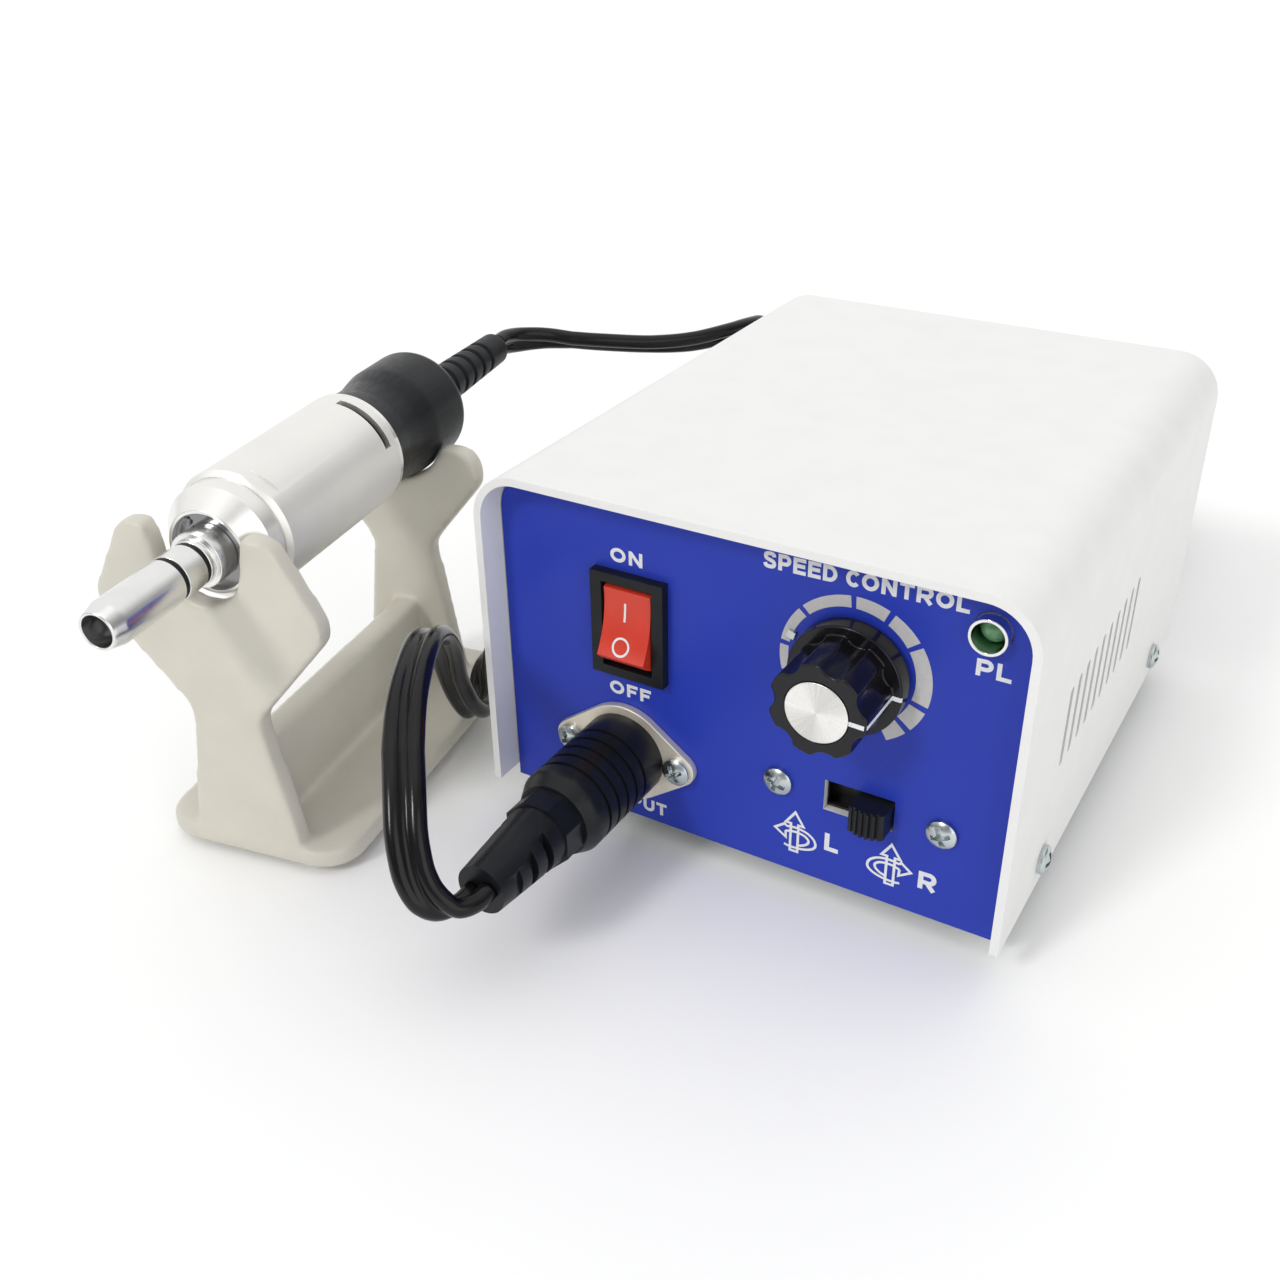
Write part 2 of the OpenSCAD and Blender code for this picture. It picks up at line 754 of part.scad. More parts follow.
front_broad = [
    [0.9, 0, 0.4], [0.9, 0.1, 0.4], [0.9, 0.3, 0.3], [0.8, 0.5, 0.2], [0.8, 0.6, 0.1],
    [0.8, 0.6, 0], [0.8, 0.6, 0], [0.8, 0.6, 0], [0.8, 0.6, 0], [0.8, 0.6, 0],
    [0.8, 0.6, 0], [0.8, 0.5, 0.1], [0.8, 0.4, 0.2],
    [0.8, 0.3, 0.2], [0.8, 0.2, 0.2], [0.9, 0.2, 0], [1, 0, 0], [1, 0.1, 0],
    [0.9, 0.3, 0.2], [0.8, 0.3, 0.4], [0.6, 0.2, 0.7], [0.4, 0, 0.9], [0.2, 0, 1],
    [0, 0, 1], [0, 0, 1], [0, 0, 1], [0, 0, 1], [0, 0, 1],
    [0, 0, 1], [0, 0, 1], [0, 0, 1], [0, 0, 1], [0, 0, 1],
];

// Route of the flex from the handpiece's boot to the coil
tail_route = [
    [-52.5, 78.2, 64.8], [-53.2, 82.4, 64.8], [-52.6, 88, 64], [-48.4, 93.8, 63.4], [-42.8, 97.4, 62.8],
    [-37, 100.8, 62.2], [-27, 107.8, 61.2], [-19.5, 115.2, 60.8], [-14.5, 123.5, 61], [-12.4, 131, 60.8],
    [-12, 138.5, 59.5], [-9, 145.5, 54], [-2.5, 148.5, 45.5], [5.5, 147.5, 36], [14, 144.5, 27],
    [23, 140.5, 19], [31.5, 137.8, 14], [38.8, 137.5, 12.4],
];
tail_broad = [
    [-0.5, -0.1, -0.8], [-0.5, -0.1, -0.8], [-0.5, 0.1, -0.8], [-0.5, 0.5, -0.7], [-0.5, 0.7, -0.5],
    [-0.4, 0.7, -0.5], [-0.4, 0.7, -0.5], [-0.4, 0.6, -0.6], [-0.5, 0.4, -0.7], [-0.6, 0.2, -0.7],
    [-0.8, 0.2, -0.5], [-0.8, 0.4, -0.5], [-0.6, 0.6, -0.5], [-0.5, 0.5, -0.7], [-0.5, 0.3, -0.8],
    [-0.4, 0.1, -0.9], [-0.2, 0, -1], [0, 0, -1],
];

// Frames of reference
module placed() {
    translate([-origin_x, -origin_y, 0]) children();
}

module at_panel(x, z) {
    placed() translate([x, recess, cover_z + z]) rotate([90, 0, 0]) children();
}

module at_rear(x, z) {
    placed() translate([x, rear_y, cover_z + z]) rotate([90, 0, 180]) children();
}

module at_floor(x, y) {
    placed() translate([x, y, floor_z]) children();
}

module at_hand() {
    placed() translate([hand_x, hand_y, axis_h]) rotate([90, 0, hand_turn]) children();
}

module at_rest() {
    placed() translate([hand_x, hand_y, 0]) rotate([0, 0, hand_turn]) children();
}

// Shapes that repeat
module arch(w, h, r) {
    square([w, h - r]);
    translate([r, 0]) square([w - 2 * r, h]);
    for (x = [r, w - r]) translate([x, h - r]) circle(r = r);
}

module plate(w, h, r) {
    square([w - 2 * r, h], center = true);
    square([w, h - 2 * r], center = true);
    for (x = [-1, 1], y = [-1, 1]) translate([x * (w / 2 - r), y * (h / 2 - r)]) circle(r = r);
}

module upright_slot(w, l) {
    square([w, l - w], center = true);
    for (y = [-1, 1]) translate([0, y * (l - w) / 2]) circle(d = w);
}

module ring(outer, inner, h) {
    difference() {
        cylinder(r = outer, h = h);
        translate([0, 0, -eps]) cylinder(r = inner, h = h + 2 * eps);
    }
}

module pan_screw(l) {
    difference() {
        union() {
            intersection() {
                cylinder(r = head_r, h = head_h);
                translate([0, 0, head_h - dome_r]) sphere(r = dome_r);
            }
            translate([0, 0, -l]) cylinder(r = screw_r, h = l + head_h / 3);
        }
        for (a = [0, 90]) {
            rotate(a) translate([-cross_l / 2, -cross_w / 2, head_h - cross_d])
                cube([cross_l, cross_w, head_h]);
        }
    }
}

module hex_nut(w, bore, h) {
    difference() {
        cylinder(d = w, h = h, $fn = 6);
        translate([0, 0, -eps]) cylinder(r = bore, h = h + 2 * eps);
    }
}

// Curves and tubes
function unit(v) = v / norm(v);
function clamp(i, n) = max(0, min(i, n));
function spline(p, i, s) =
    let (n = len(p) - 1, a = p[clamp(i - 1, n)], b = p[i], c = p[clamp(i + 1, n)], d = p[clamp(i + 2, n)])
    (2 * b + (c - a) * s + (2 * a - 5 * b + 4 * c - d) * s * s + (3 * b - a - 3 * c + d) * s * s * s) / 2;
function smooth(p, n) = [
    for (i = [0 : len(p) - 2], k = [0 : n - 1]) spline(p, i, k / n),
    p[len(p) - 1],
];
function mixed(p, n) = [
    for (i = [0 : len(p) - 2], k = [0 : n - 1]) p[i] + (p[i + 1] - p[i]) * k / n,
    p[len(p) - 1],
];
function along(c, i) = unit(c[clamp(i + 1, len(c) - 1)] - c[clamp(i - 1, len(c) - 1)]);
function across(v, t) = unit(v - (v * t) * t);
function flex_ring(c, t, w, sides, turn) = [
    for (k = [0 : sides - 1])
        let (a = 360 * k / sides + turn, fit = cos(turn))
        c + w * (flex_w / 2 * cos(a) / fit) + cross(t, w) * (flex_t / 2 * sin(a) / cos(180 / sides - turn))
];
function flex_points(c, broad, sides, turn) = [
    for (i = [0 : len(c) - 1])
        let (t = along(c, i))
        each flex_ring(c[i], t, across(broad[i], t), sides, turn)
];
function flex_faces(rings, sides) = [
    [for (k = [0 : sides - 1]) k],
    for (i = [0 : rings - 2], k = [0 : sides - 1])
        let (a = i * sides + k, b = i * sides + (k + 1) % sides)
        each [[a, a + sides, b + sides], [a, b + sides, b]],
    [for (k = [0 : sides - 1]) rings * sides - 1 - k],
];
module flex_tube(c, broad, sides, turn) {
    polyhedron(points = flex_points(c, broad, sides, turn), faces = flex_faces(len(c), sides));
}

// Control box
module top_cover() {
    color("white") placed() difference() {
        translate([0, case_d, cover_z]) rotate([90, 0, 0]) linear_extrude(case_d) difference() {
            arch(case_w, case_h, case_r);
            translate([sheet, -eps]) arch(case_w - 2 * sheet, case_h - sheet + eps, case_r - sheet);
        }
        for (i = [0 : vent_n - 1]) {
            translate([-eps, vent_y + i * vent_pitch, cover_z + vent_z]) rotate([90, 0, 90])
                linear_extrude(case_w + 2 * eps) upright_slot(vent_w, vent_l);
        }
        side_holes();
    }
}

module side_holes() {
    for (y = [cover_screw_y, case_d - cover_screw_y]) {
        translate([-eps, y, cover_z + cover_screw_z]) rotate([0, 90, 0])
            cylinder(r = hole_r, h = case_w + 2 * eps);
    }
}

module tray_spots() {
    for (x = [foot_inset, tray_w - foot_inset], y = [foot_inset, rear_y - tray_y - foot_inset]) {
        translate([sheet + x, tray_y + y, 0]) children();
    }
}

module strap_spots() {
    for (y = [core_y - strap_t - strap_foot / 2, core_y + core_l + strap_t + strap_foot / 2]) {
        translate([core_x + core_d / 2, y, 0]) children();
    }
}

module post_spots() {
    for (x = [post_inset, board_w - post_inset], y = [post_inset, board_l - post_inset]) {
        translate([board_x + x, board_y + y, 0]) children();
    }
}

module base_tray() {
    color("silver") placed() difference() {
        union() {
            translate([sheet, tray_y, foot_h]) cube([tray_w, rear_y - tray_y, tray_t]);
            translate([sheet, tray_y, foot_h]) cube([tray_w, tray_t, lip_h]);
            for (x = [sheet, case_w - sheet - tray_t]) {
                translate([x, tray_y, foot_h]) cube([tray_t, rear_y - tray_y, flange_h]);
            }
            translate([panel_x, rear_y, foot_h]) rotate([90, 0, 0]) linear_extrude(tray_t)
                arch(panel_w, panel_h, panel_r);
        }
        side_holes();
        tray_spots() translate([0, 0, foot_h - eps]) cylinder(r = hole_r, h = tray_t + 2 * eps);
        strap_spots() translate([0, 0, foot_h - eps]) cylinder(r = hole_r, h = tray_t + 2 * eps);
        translate([0, rear_y + eps, cover_z]) rotate([90, 0, 0]) linear_extrude(tray_t + 2 * eps) {
            translate([inlet_x, inlet_z]) {
                square([inlet_body_w + 2 * cutout_gap, inlet_body_h + 2 * cutout_gap], center = true);
                for (x = [-1, 1]) translate([x * inlet_pitch / 2, 0]) circle(r = hole_r);
            }
            translate([fuse_x, fuse_z]) circle(r = fuse_body_r + cutout_gap);
            translate([jack_x, jack_z]) circle(r = jack_bush_r + cutout_gap);
        }
    }
}

module front_panel() {
    color("mediumblue") placed() translate([0, recess + panel_t, 0]) rotate([90, 0, 0])
        linear_extrude(panel_t)
        difference() {
            translate([panel_x, foot_h]) arch(panel_w, panel_h, panel_r);
            translate([0, cover_z]) panel_cuts();
        }
}

module panel_cuts() {
    translate([rocker_x, rocker_z])
        square([cutout_w + 2 * cutout_gap, cutout_h + 2 * cutout_gap], center = true);
    translate([knob_x, knob_z]) {
        circle(r = bush_r + cutout_gap);
        rotate(-tab_turn) translate([0, tab_x]) square(tab_w + 2 * cutout_gap, center = true);
    }
    translate([lamp_x, lamp_z]) circle(r = sleeve_r + cutout_gap);
    translate([slide_x, slide_z]) {
        square([slot_w, slot_h], center = true);
        for (x = [-1, 1]) translate([x * slide_pitch / 2, 0]) circle(r = hole_r);
    }
    translate([socket_x, socket_z]) {
        circle(r = shell_r + cutout_gap);
        for (x = [-1, 1]) translate([x * socket_pitch / 2, 0]) circle(r = hole_r);
    }
}

module cover_screws() {
    color("silver") placed() for (y = [cover_screw_y, case_d - cover_screw_y]) {
        translate([case_w, y, cover_z + cover_screw_z]) rotate([0, 90, 0]) pan_screw(screw_l);
        translate([0, y, cover_z + cover_screw_z]) rotate([0, -90, 0]) pan_screw(screw_l);
    }
}

module rubber_feet() {
    color("dimgray") placed() tray_spots() difference() {
        cylinder(r = foot_r, h = foot_h);
        translate([0, 0, -eps]) cylinder(r = head_r + screw_gap, h = foot_h / 2 + eps);
        cylinder(r = hole_r, h = foot_h + eps);
    }
}

module foot_screws() {
    color("silver") placed() tray_spots() translate([0, 0, foot_h / 2]) rotate([180, 0, 0])
        pan_screw(screw_l - foot_h / 2);
}

module panel_screws() {
    color("silver") {
        for (x = [-1, 1]) {
            at_panel(slide_x + x * slide_pitch / 2, slide_z) rotate(x * 20) pan_screw(screw_l);
            at_panel(socket_x + x * socket_pitch / 2, socket_z) translate([0, 0, flange_t]) rotate(30)
                pan_screw(screw_l);
        }
    }
}

// Rocker switch
module rocker_housing() {
    color("black") at_panel(rocker_x, rocker_z) difference() {
        union() {
            linear_extrude(bezel_t) square([bezel_w, bezel_h], center = true);
            translate([0, 0, -housing_d]) linear_extrude(housing_d + eps)
                square([cutout_w, cutout_h], center = true);
        }
        translate([0, 0, -well_d]) linear_extrude(well_d + bezel_t + eps)
            square([well_w, well_h], center = true);
        translate([-well_w / 2 - pivot_l, 0, -pivot_d]) rotate([0, 90, 0])
            cylinder(r = pivot_r + run_gap, h = well_w + 2 * pivot_l);
    }
}

module rocker_terminals() {
    color("goldenrod") at_panel(rocker_x, rocker_z) for (y = [-1, 1]) {
        translate([-blade_w / 2, y * blade_pitch / 2 - blade_t / 2, -housing_d - blade_l])
            cube([blade_w, blade_t, blade_l]);
    }
}

module power_rocker() {
    color("red") at_panel(rocker_x, rocker_z) translate([0, 0, -pivot_d]) rotate([-rocker_tilt, 0, 0]) {
        rotate([90, 0, 90]) translate([0, 0, -rocker_w / 2]) linear_extrude(rocker_w) difference() {
            intersection() {
                circle(r = rocker_r);
                polygon([
                    [rocker_r, rocker_r], [rocker_r, -pivot_r], [pivot_r, -2 * pivot_r],
                    [-pivot_r, -2 * pivot_r], [-rocker_r, -pivot_r], [-rocker_r, rocker_r],
                ]);
            }
            translate([0, valley + dish_r]) circle(r = dish_r);
        }
        rotate([0, 90, 0]) translate([0, 0, -rocker_w / 2 - pivot_l])
            cylinder(r = pivot_r, h = rocker_w + 2 * pivot_l);
    }
}

// Speed control
module grip_outline() {
    difference() {
        circle(r = grip_r);
        for (i = [0 : flute_n - 1]) {
            rotate(180 / flute_n + 360 * i / flute_n) translate([0, grip_r + flute_r - flute_d])
                circle(r = flute_r);
        }
    }
}

module speed_knob() {
    color("black") at_panel(knob_x, knob_z) rotate(-pointer_turn) difference() {
        union() {
            translate([0, 0, knob_lift]) cylinder(r = skirt_r, h = skirt_h - knob_lift);
            translate([0, 0, knob_lift]) linear_extrude(knob_h - knob_lift) grip_outline();
        }
        translate([0, 0, grip_front]) cylinder(r = cap_r + run_gap, h = cap_seat + eps);
        translate([0, 0, knob_lift - eps]) cylinder(d = nut_w + 2 * knob_lift, h = nut_t + eps);
        translate([0, 0, knob_lift]) cylinder(r = bush_r + knob_lift / 2, h = bush_l);
        translate([0, 0, knob_lift]) cylinder(r = shaft_r + run_gap, h = knob_h - shaft_end - knob_lift);
    }
}

module knob_cap() {
    color("silver") at_panel(knob_x, knob_z) translate([0, 0, grip_front]) cylinder(r = cap_r, h = cap_t);
}

module pot_body() {
    color("gray") at_panel(knob_x, knob_z) difference() {
        union() {
            translate([0, 0, -panel_t - pot_d]) cylinder(r = pot_r, h = pot_d);
            translate([0, 0, -panel_t - eps]) cylinder(r = bush_r, h = panel_t + bush_l + eps);
            rotate(-tab_turn) translate([-tab_w / 2, tab_x - tab_w / 2, -panel_t - tab_w])
                cube([tab_w, tab_w, panel_t + tab_h + tab_w]);
        }
        translate([0, 0, -panel_t - pot_d / 2])
            cylinder(r = shaft_r + run_gap, h = pot_d + panel_t + bush_l);
    }
}

module pot_shaft() {
    color("silver") at_panel(knob_x, knob_z) translate([0, 0, -panel_t - pot_d / 2])
        cylinder(r = shaft_r, h = pot_d / 2 + panel_t + knob_h - shaft_end);
}

module pot_nut() {
    color("silver") at_panel(knob_x, knob_z) hex_nut(nut_w, bush_r + run_gap, nut_t);
}

// Pilot lamp
module lamp_sleeve() {
    color("silver") at_panel(lamp_x, lamp_z) difference() {
        union() {
            translate([0, 0, -sleeve_d]) cylinder(r = sleeve_r, h = sleeve_d + sleeve_out);
            translate([0, 0, -panel_t - rim_t]) cylinder(r = sleeve_r + rim_w, h = rim_t);
        }
        translate([0, 0, -sleeve_d - eps])
            cylinder(r = lamp_r + lamp_gap, h = sleeve_d + sleeve_out + 2 * eps);
    }
}

module pilot_lamp() {
    color("green") at_panel(lamp_x, lamp_z) translate([0, 0, -sleeve_d]) {
        translate([0, 0, -rim_t]) cylinder(r = lamp_r + rim_w / 2, h = rim_t);
        cylinder(r = lamp_r, h = lamp_l - lamp_r);
        intersection() {
            translate([0, 0, lamp_l - lamp_r]) sphere(r = lamp_r);
            cylinder(r = lamp_r, h = lamp_l);
        }
    }
}

// Direction switch
module slide_switch() {
    shoe_w = slider_w + 2 * shoe_lap;
    shoe_h = slider_h + 2 * shoe_lap;
    color("dimgray") at_panel(slide_x, slide_z) difference() {
        union() {
            translate([0, 0, -panel_t - frame_t]) linear_extrude(frame_t)
                square([frame_w, frame_h], center = true);
            translate([0, 0, -panel_t - frame_t - body_d]) linear_extrude(body_d + eps)
                square([body_w, frame_h], center = true);
        }
        for (x = [-1, 1]) translate([x * slide_pitch / 2, 0, -panel_t - frame_t - eps])
            cylinder(r = hole_r, h = 1 + frame_t);
        translate([0, 0, -panel_t - frame_t - eps]) linear_extrude(frame_t + 1)
            square([slider_w + slide_travel + 2 * cutout_gap, slider_h + 2 * cutout_gap], center = true);
        translate([0, 0, -panel_t - frame_t - shoe_t - 2 * cutout_gap])
            linear_extrude(shoe_t + 2 * cutout_gap)
            square([shoe_w + slide_travel + 2 * cutout_gap, shoe_h + 2 * cutout_gap], center = true);
    }
}

module direction_slider() {
    pitch = slider_w / rib_n;
    back = slider_out - slider_curve;
    color("black") at_panel(slide_x + slide_travel / 2, slide_z) difference() {
        union() {
            intersection() {
                translate([0, 0, -panel_t - frame_t - cutout_gap - eps])
                    linear_extrude(panel_t + frame_t + cutout_gap + slider_out + eps)
                    square([slider_w, slider_h], center = true);
                translate([0, 0, back]) rotate([90, 0, 0])
                    cylinder(r = slider_curve, h = 2 * slider_h, center = true);
            }
            translate([0, 0, -panel_t - frame_t - shoe_t - cutout_gap]) linear_extrude(shoe_t)
                square([slider_w + 2 * shoe_lap, slider_h + 2 * shoe_lap], center = true);
        }
        for (i = [1 : rib_n - 1]) {
            x = pitch * i - slider_w / 2;
            front = back + sqrt(slider_curve * slider_curve - x * x);
            translate([x - pitch / 4, -slider_h, front - rib_d])
                cube([pitch / 2, 2 * slider_h, slider_out]);
        }
    }
}

// Output socket and plug
module socket_outline() {
    reach = socket_pitch / 2;
    lean = acos((flange_r - flange_end_r) / reach);
    up = [cos(lean), sin(lean)];
    down = [cos(lean), -sin(lean)];
    end = [reach, 0];
    circle(r = flange_r);
    for (x = [-1, 1]) translate([x * reach, 0]) circle(r = flange_end_r);
    for (x = [0, 1]) mirror([x, 0]) {
        polygon([[0, 0], flange_r * down, end + flange_end_r * down, end + flange_end_r * up, flange_r * up]);
    }
}

module socket_flange() {
    color("silver") at_panel(socket_x, socket_z) difference() {
        union() {
            linear_extrude(flange_t) difference() {
                socket_outline();
                for (x = [-1, 1]) translate([x * socket_pitch / 2, 0]) circle(r = hole_r);
            }
            translate([0, 0, -shell_d]) cylinder(r = shell_r, h = shell_d + eps);
        }
        translate([0, 0, -shell_d - eps]) cylinder(r = socket_bore, h = shell_d + flange_t + 2 * eps);
    }
}

module pin_spots() {
    for (i = [0 : pin_n - 1]) rotate(-90 + (i - (pin_n - 1) / 2) * pin_step)
        translate([pin_circle, 0, 0]) children();
}

module socket_insert() {
    color("black") at_panel(socket_x, socket_z) difference() {
        union() {
            translate([0, 0, -shell_d - insert_t]) cylinder(r = shell_r, h = insert_t);
            translate([0, 0, -shell_d - eps]) cylinder(r = core_bore, h = shell_d + eps);
        }
        pin_spots() translate([0, 0, -shell_d]) cylinder(r = pin_r + run_gap, h = shell_d + eps);
    }
}

module socket_tags() {
    color("goldenrod") at_panel(socket_x, socket_z) pin_spots()
        translate([0, 0, -shell_d - insert_t - tag_l]) cylinder(r = pin_r, h = tag_l);
}

module plug_sleeve() {
    color("silver") at_panel(socket_x, socket_z) translate([0, 0, flange_t - plug_sleeve_l])
        ring(plug_sleeve_r, plug_sleeve_r - plug_sleeve_t, plug_sleeve_l);
}

module plug_pins() {
    color("goldenrod") at_panel(socket_x, socket_z) pin_spots() translate([0, 0, flange_t - plug_sleeve_l])
        cylinder(r = pin_r, h = plug_sleeve_l);
}

module plug_body() {
    neck_z = grip_l + shoulder_l;
    relief_z = neck_z + neck_l;
    step = relief_l / (relief_n + 1);
    root_r = neck_r * cos(neck_flat) - neck_step;
    taper = root_r - relief_end_r;
    color("black") at_panel(socket_x, socket_z) translate([0, 0, flange_t]) difference() {
        union() {
            cylinder(r = plug_r, h = grip_l);
            translate([0, 0, grip_l]) cylinder(r1 = plug_r, r2 = neck_r + neck_step, h = shoulder_l);
            translate([0, 0, neck_z - eps]) rotate(neck_flat)
                cylinder(r = neck_r, h = neck_l + 2 * eps, $fn = neck_sides);
            translate([0, 0, relief_z]) cylinder(r1 = root_r, r2 = relief_end_r, h = relief_l);
        }
        for (i = [0 : groove_n - 1]) translate([0, 0, grip_l - groove_pitch * (i + 1)])
            ring(plug_r + 1, plug_r - groove_d, groove_w);
        for (i = [1 : relief_n], x = [-1, 1]) {
            depth = relief_d + taper * (1 - step * i / relief_l);
            translate([x * (relief_end_r + relief_d), 0, relief_z + step * i])
                cube([2 * depth, 2 * plug_r, relief_slot], center = true);
        }
    }
}

// Rear fittings
module mains_inlet() {
    color("black") at_rear(inlet_x, inlet_z) difference() {
        union() {
            linear_extrude(inlet_t) plate(inlet_w, inlet_h, inlet_t);
            translate([0, 0, -inlet_d]) linear_extrude(inlet_d + eps)
                square([inlet_body_w, inlet_body_h], center = true);
        }
        translate([0, 0, inlet_t - mouth_d]) linear_extrude(mouth_d + eps)
            square([mouth_w, mouth_h], center = true);
        for (x = [-1, 1]) translate([x * inlet_pitch / 2, 0, -eps])
            cylinder(r = hole_r, h = inlet_t + 2 * eps);
    }
}

module inlet_pins() {
    color("silver") at_rear(inlet_x, inlet_z) for (x = [-1, 0, 1]) {
        rise = x == 0 ? pin_flat_rise - pin_flat : -pin_flat;
        translate([(x * pin_flat_pitch - pin_flat_t) / 2, rise / 2, inlet_t - mouth_d])
            cube([pin_flat_t, pin_flat, mouth_d - inlet_t]);
    }
}

module inlet_screws() {
    color("silver") for (x = [-1, 1]) at_rear(inlet_x + x * inlet_pitch / 2, inlet_z)
        translate([0, 0, inlet_t]) pan_screw(screw_l);
}

module fuse_holder() {
    color("black") at_rear(fuse_x, fuse_z) difference() {
        union() {
            cylinder(r = fuse_flange_r, h = fuse_flange_t);
            translate([0, 0, -fuse_body_l]) cylinder(r = fuse_body_r, h = fuse_body_l + eps);
        }
        translate([0, 0, -fuse_body_l + fuse_wall])
            cylinder(r = fuse_body_r - fuse_wall, h = fuse_body_l + fuse_flange_t);
    }
}

module fuse_link() {
    color("lightgray") at_rear(fuse_x, fuse_z) translate([0, 0, -fuse_body_l + fuse_wall])
        cylinder(r = fuse_r, h = fuse_l);
}

module fuse_cap() {
    stem = fuse_body_l + fuse_flange_t - fuse_wall - fuse_l - cutout_gap;
    color("black") at_rear(fuse_x, fuse_z) translate([0, 0, fuse_flange_t]) difference() {
        union() {
            cylinder(r = fuse_cap_r, h = fuse_cap_h);
            translate([0, 0, -stem]) cylinder(r = fuse_body_r - fuse_wall - run_gap, h = stem + eps);
        }
        translate([-fuse_cap_r, -cross_w, fuse_cap_h - cross_d])
            cube([2 * fuse_cap_r, 2 * cross_w, cross_d + eps]);
    }
}

module pedal_jack() {
    color("dimgray") at_rear(jack_x, jack_z) difference() {
        union() {
            translate([0, 0, -tray_t - jack_l]) linear_extrude(jack_l) square(2 * jack_body, center = true);
            translate([0, 0, -tray_t - eps]) cylinder(r = jack_bush_r, h = tray_t + jack_bush_l + eps);
        }
        translate([0, 0, jack_bush_l - jack_l]) cylinder(r = jack_r, h = jack_l + eps);
    }
}

module jack_nut() {
    color("silver") at_rear(jack_x, jack_z) hex_nut(jack_nut_w, jack_bush_r + run_gap, jack_nut_t);
}

// Transformer
module at_core() {
    at_floor(core_x + core_d, core_y) rotate([0, 0, 90]) children();
}

module transformer_core() {
    color("dimgray") at_core() difference() {
        cube([core_l, core_d, core_h]);
        for (x = [yoke, core_l - yoke - window_l]) {
            translate([x, -eps, yoke]) cube([window_l, core_d + 2 * eps, core_h - 2 * yoke]);
        }
    }
}

module transformer_winding() {
    tall = core_h - 2 * yoke - wind_gap;
    color("peru") at_core() translate([core_l / 2, core_d / 2, yoke]) linear_extrude(tall) difference() {
        square([leg + 2 * wind_wall, core_d + 2 * wind_wall], center = true);
        square([leg + wind_gap, core_d + wind_gap], center = true);
    }
}

module transformer_bracket() {
    color("silver") at_core() translate([0, (core_d - strap_w) / 2, 0]) difference() {
        union() {
            translate([-strap_t - strap_foot, 0, 0])
                cube([core_l + 2 * (strap_t + strap_foot), strap_w, strap_t]);
            translate([-strap_t, 0, 0]) cube([core_l + 2 * strap_t, strap_w, core_h + strap_t]);
        }
        translate([0, -eps, -eps]) cube([core_l, strap_w + 2 * eps, core_h + eps]);
        for (x = [-strap_t - strap_foot / 2, core_l + strap_t + strap_foot / 2]) {
            translate([x, strap_w / 2, -eps]) cylinder(r = hole_r, h = strap_t + 2 * eps);
        }
    }
}

module tray_screws() {
    color("silver") placed() {
        strap_spots() translate([0, 0, floor_z + strap_t]) pan_screw(tray_t + strap_t);
        post_spots() translate([0, 0, floor_z + post_h + board_t]) pan_screw(board_t + post_h / 2);
    }
}

// Control board
module control_board() {
    color("darkgreen") at_floor(board_x, board_y) translate([0, 0, post_h]) difference() {
        cube([board_w, board_l, board_t]);
        for (x = [post_inset, board_w - post_inset], y = [post_inset, board_l - post_inset]) {
            translate([x, y, -eps]) cylinder(r = hole_r, h = board_t + 2 * eps);
        }
    }
}

module board_posts() {
    color("goldenrod") placed() post_spots() translate([0, 0, floor_z]) difference() {
        cylinder(r = post_r, h = post_h);
        translate([0, 0, post_h / 3]) cylinder(r = hole_r, h = post_h);
    }
}

module on_board(x, y) {
    at_floor(board_x + x, board_y + y) translate([0, 0, post_h + board_t]) children();
}

module capacitors() {
    color("navy") for (y = [0.3, 0.55]) on_board(board_w - can_r - post_r, board_l * y)
        cylinder(r = can_r, h = can_h);
}

module heat_sink() {
    color("silver") on_board(post_r, board_l / 2 - sink_l / 2) difference() {
        cube([sink_d, sink_l, sink_h]);
        translate([sink_t, sink_t, -eps]) cube([sink_d, sink_l - 2 * sink_t, sink_h + 2 * eps]);
    }
}

module power_transistor() {
    color("black") on_board(post_r + sink_t, board_l / 2 - chip_w / 2) cube([chip_t, chip_w, chip_h]);
}

// Handpiece: its own +Z points out of the nose and +Y up
module motor_sleeve() {
    shoulder = motor_l - motor_chamfer;
    color("lightgray") at_hand() difference() {
        union() {
            cylinder(r = motor_r, h = shoulder);
            translate([0, 0, shoulder])
                cylinder(r1 = motor_r, r2 = motor_r - motor_chamfer, h = motor_chamfer);
        }
        translate([0, 0, -eps]) cylinder(r = motor_in, h = motor_l + 2 * eps);
        translate([0, 0, window_s]) rotate(90 - window_from - window_angle)
            rotate_extrude(angle = window_angle)
            translate([motor_in - motor_wall, 0]) square([3 * motor_wall, window_w]);
        rotate(-notch_turn) translate([-notch_w / 2, motor_r - notch_d, shoulder - notch_l])
            cube([notch_w, motor_r, notch_l + 1]);
    }
}

module nose_cap() {
    bore = bearing_r + nose_gap;
    color("silver") at_hand() difference() {
        union() {
            translate([0, 0, motor_l - nose_plug]) cylinder(r = motor_in - nose_gap, h = nose_plug + eps);
            translate([0, 0, motor_l]) cylinder(r = nose_r, h = nose_land);
            translate([0, 0, motor_l + nose_land]) cylinder(r1 = nose_r, r2 = nose_end_r, h = nose_taper);
        }
        translate([0, 0, nose_floor]) cylinder(r = nose_end_r - nose_rim, h = nose_dish + eps);
        translate([0, 0, motor_l - nose_plug - eps]) cylinder(r = bore, h = nose_plug + nose_front);
        rotate(dot_turn) translate([0, dot_off, nose_floor - dot_l - 1])
            cylinder(r = dot_r / 2 + nose_gap, h = dot_l + 2);
    }
}

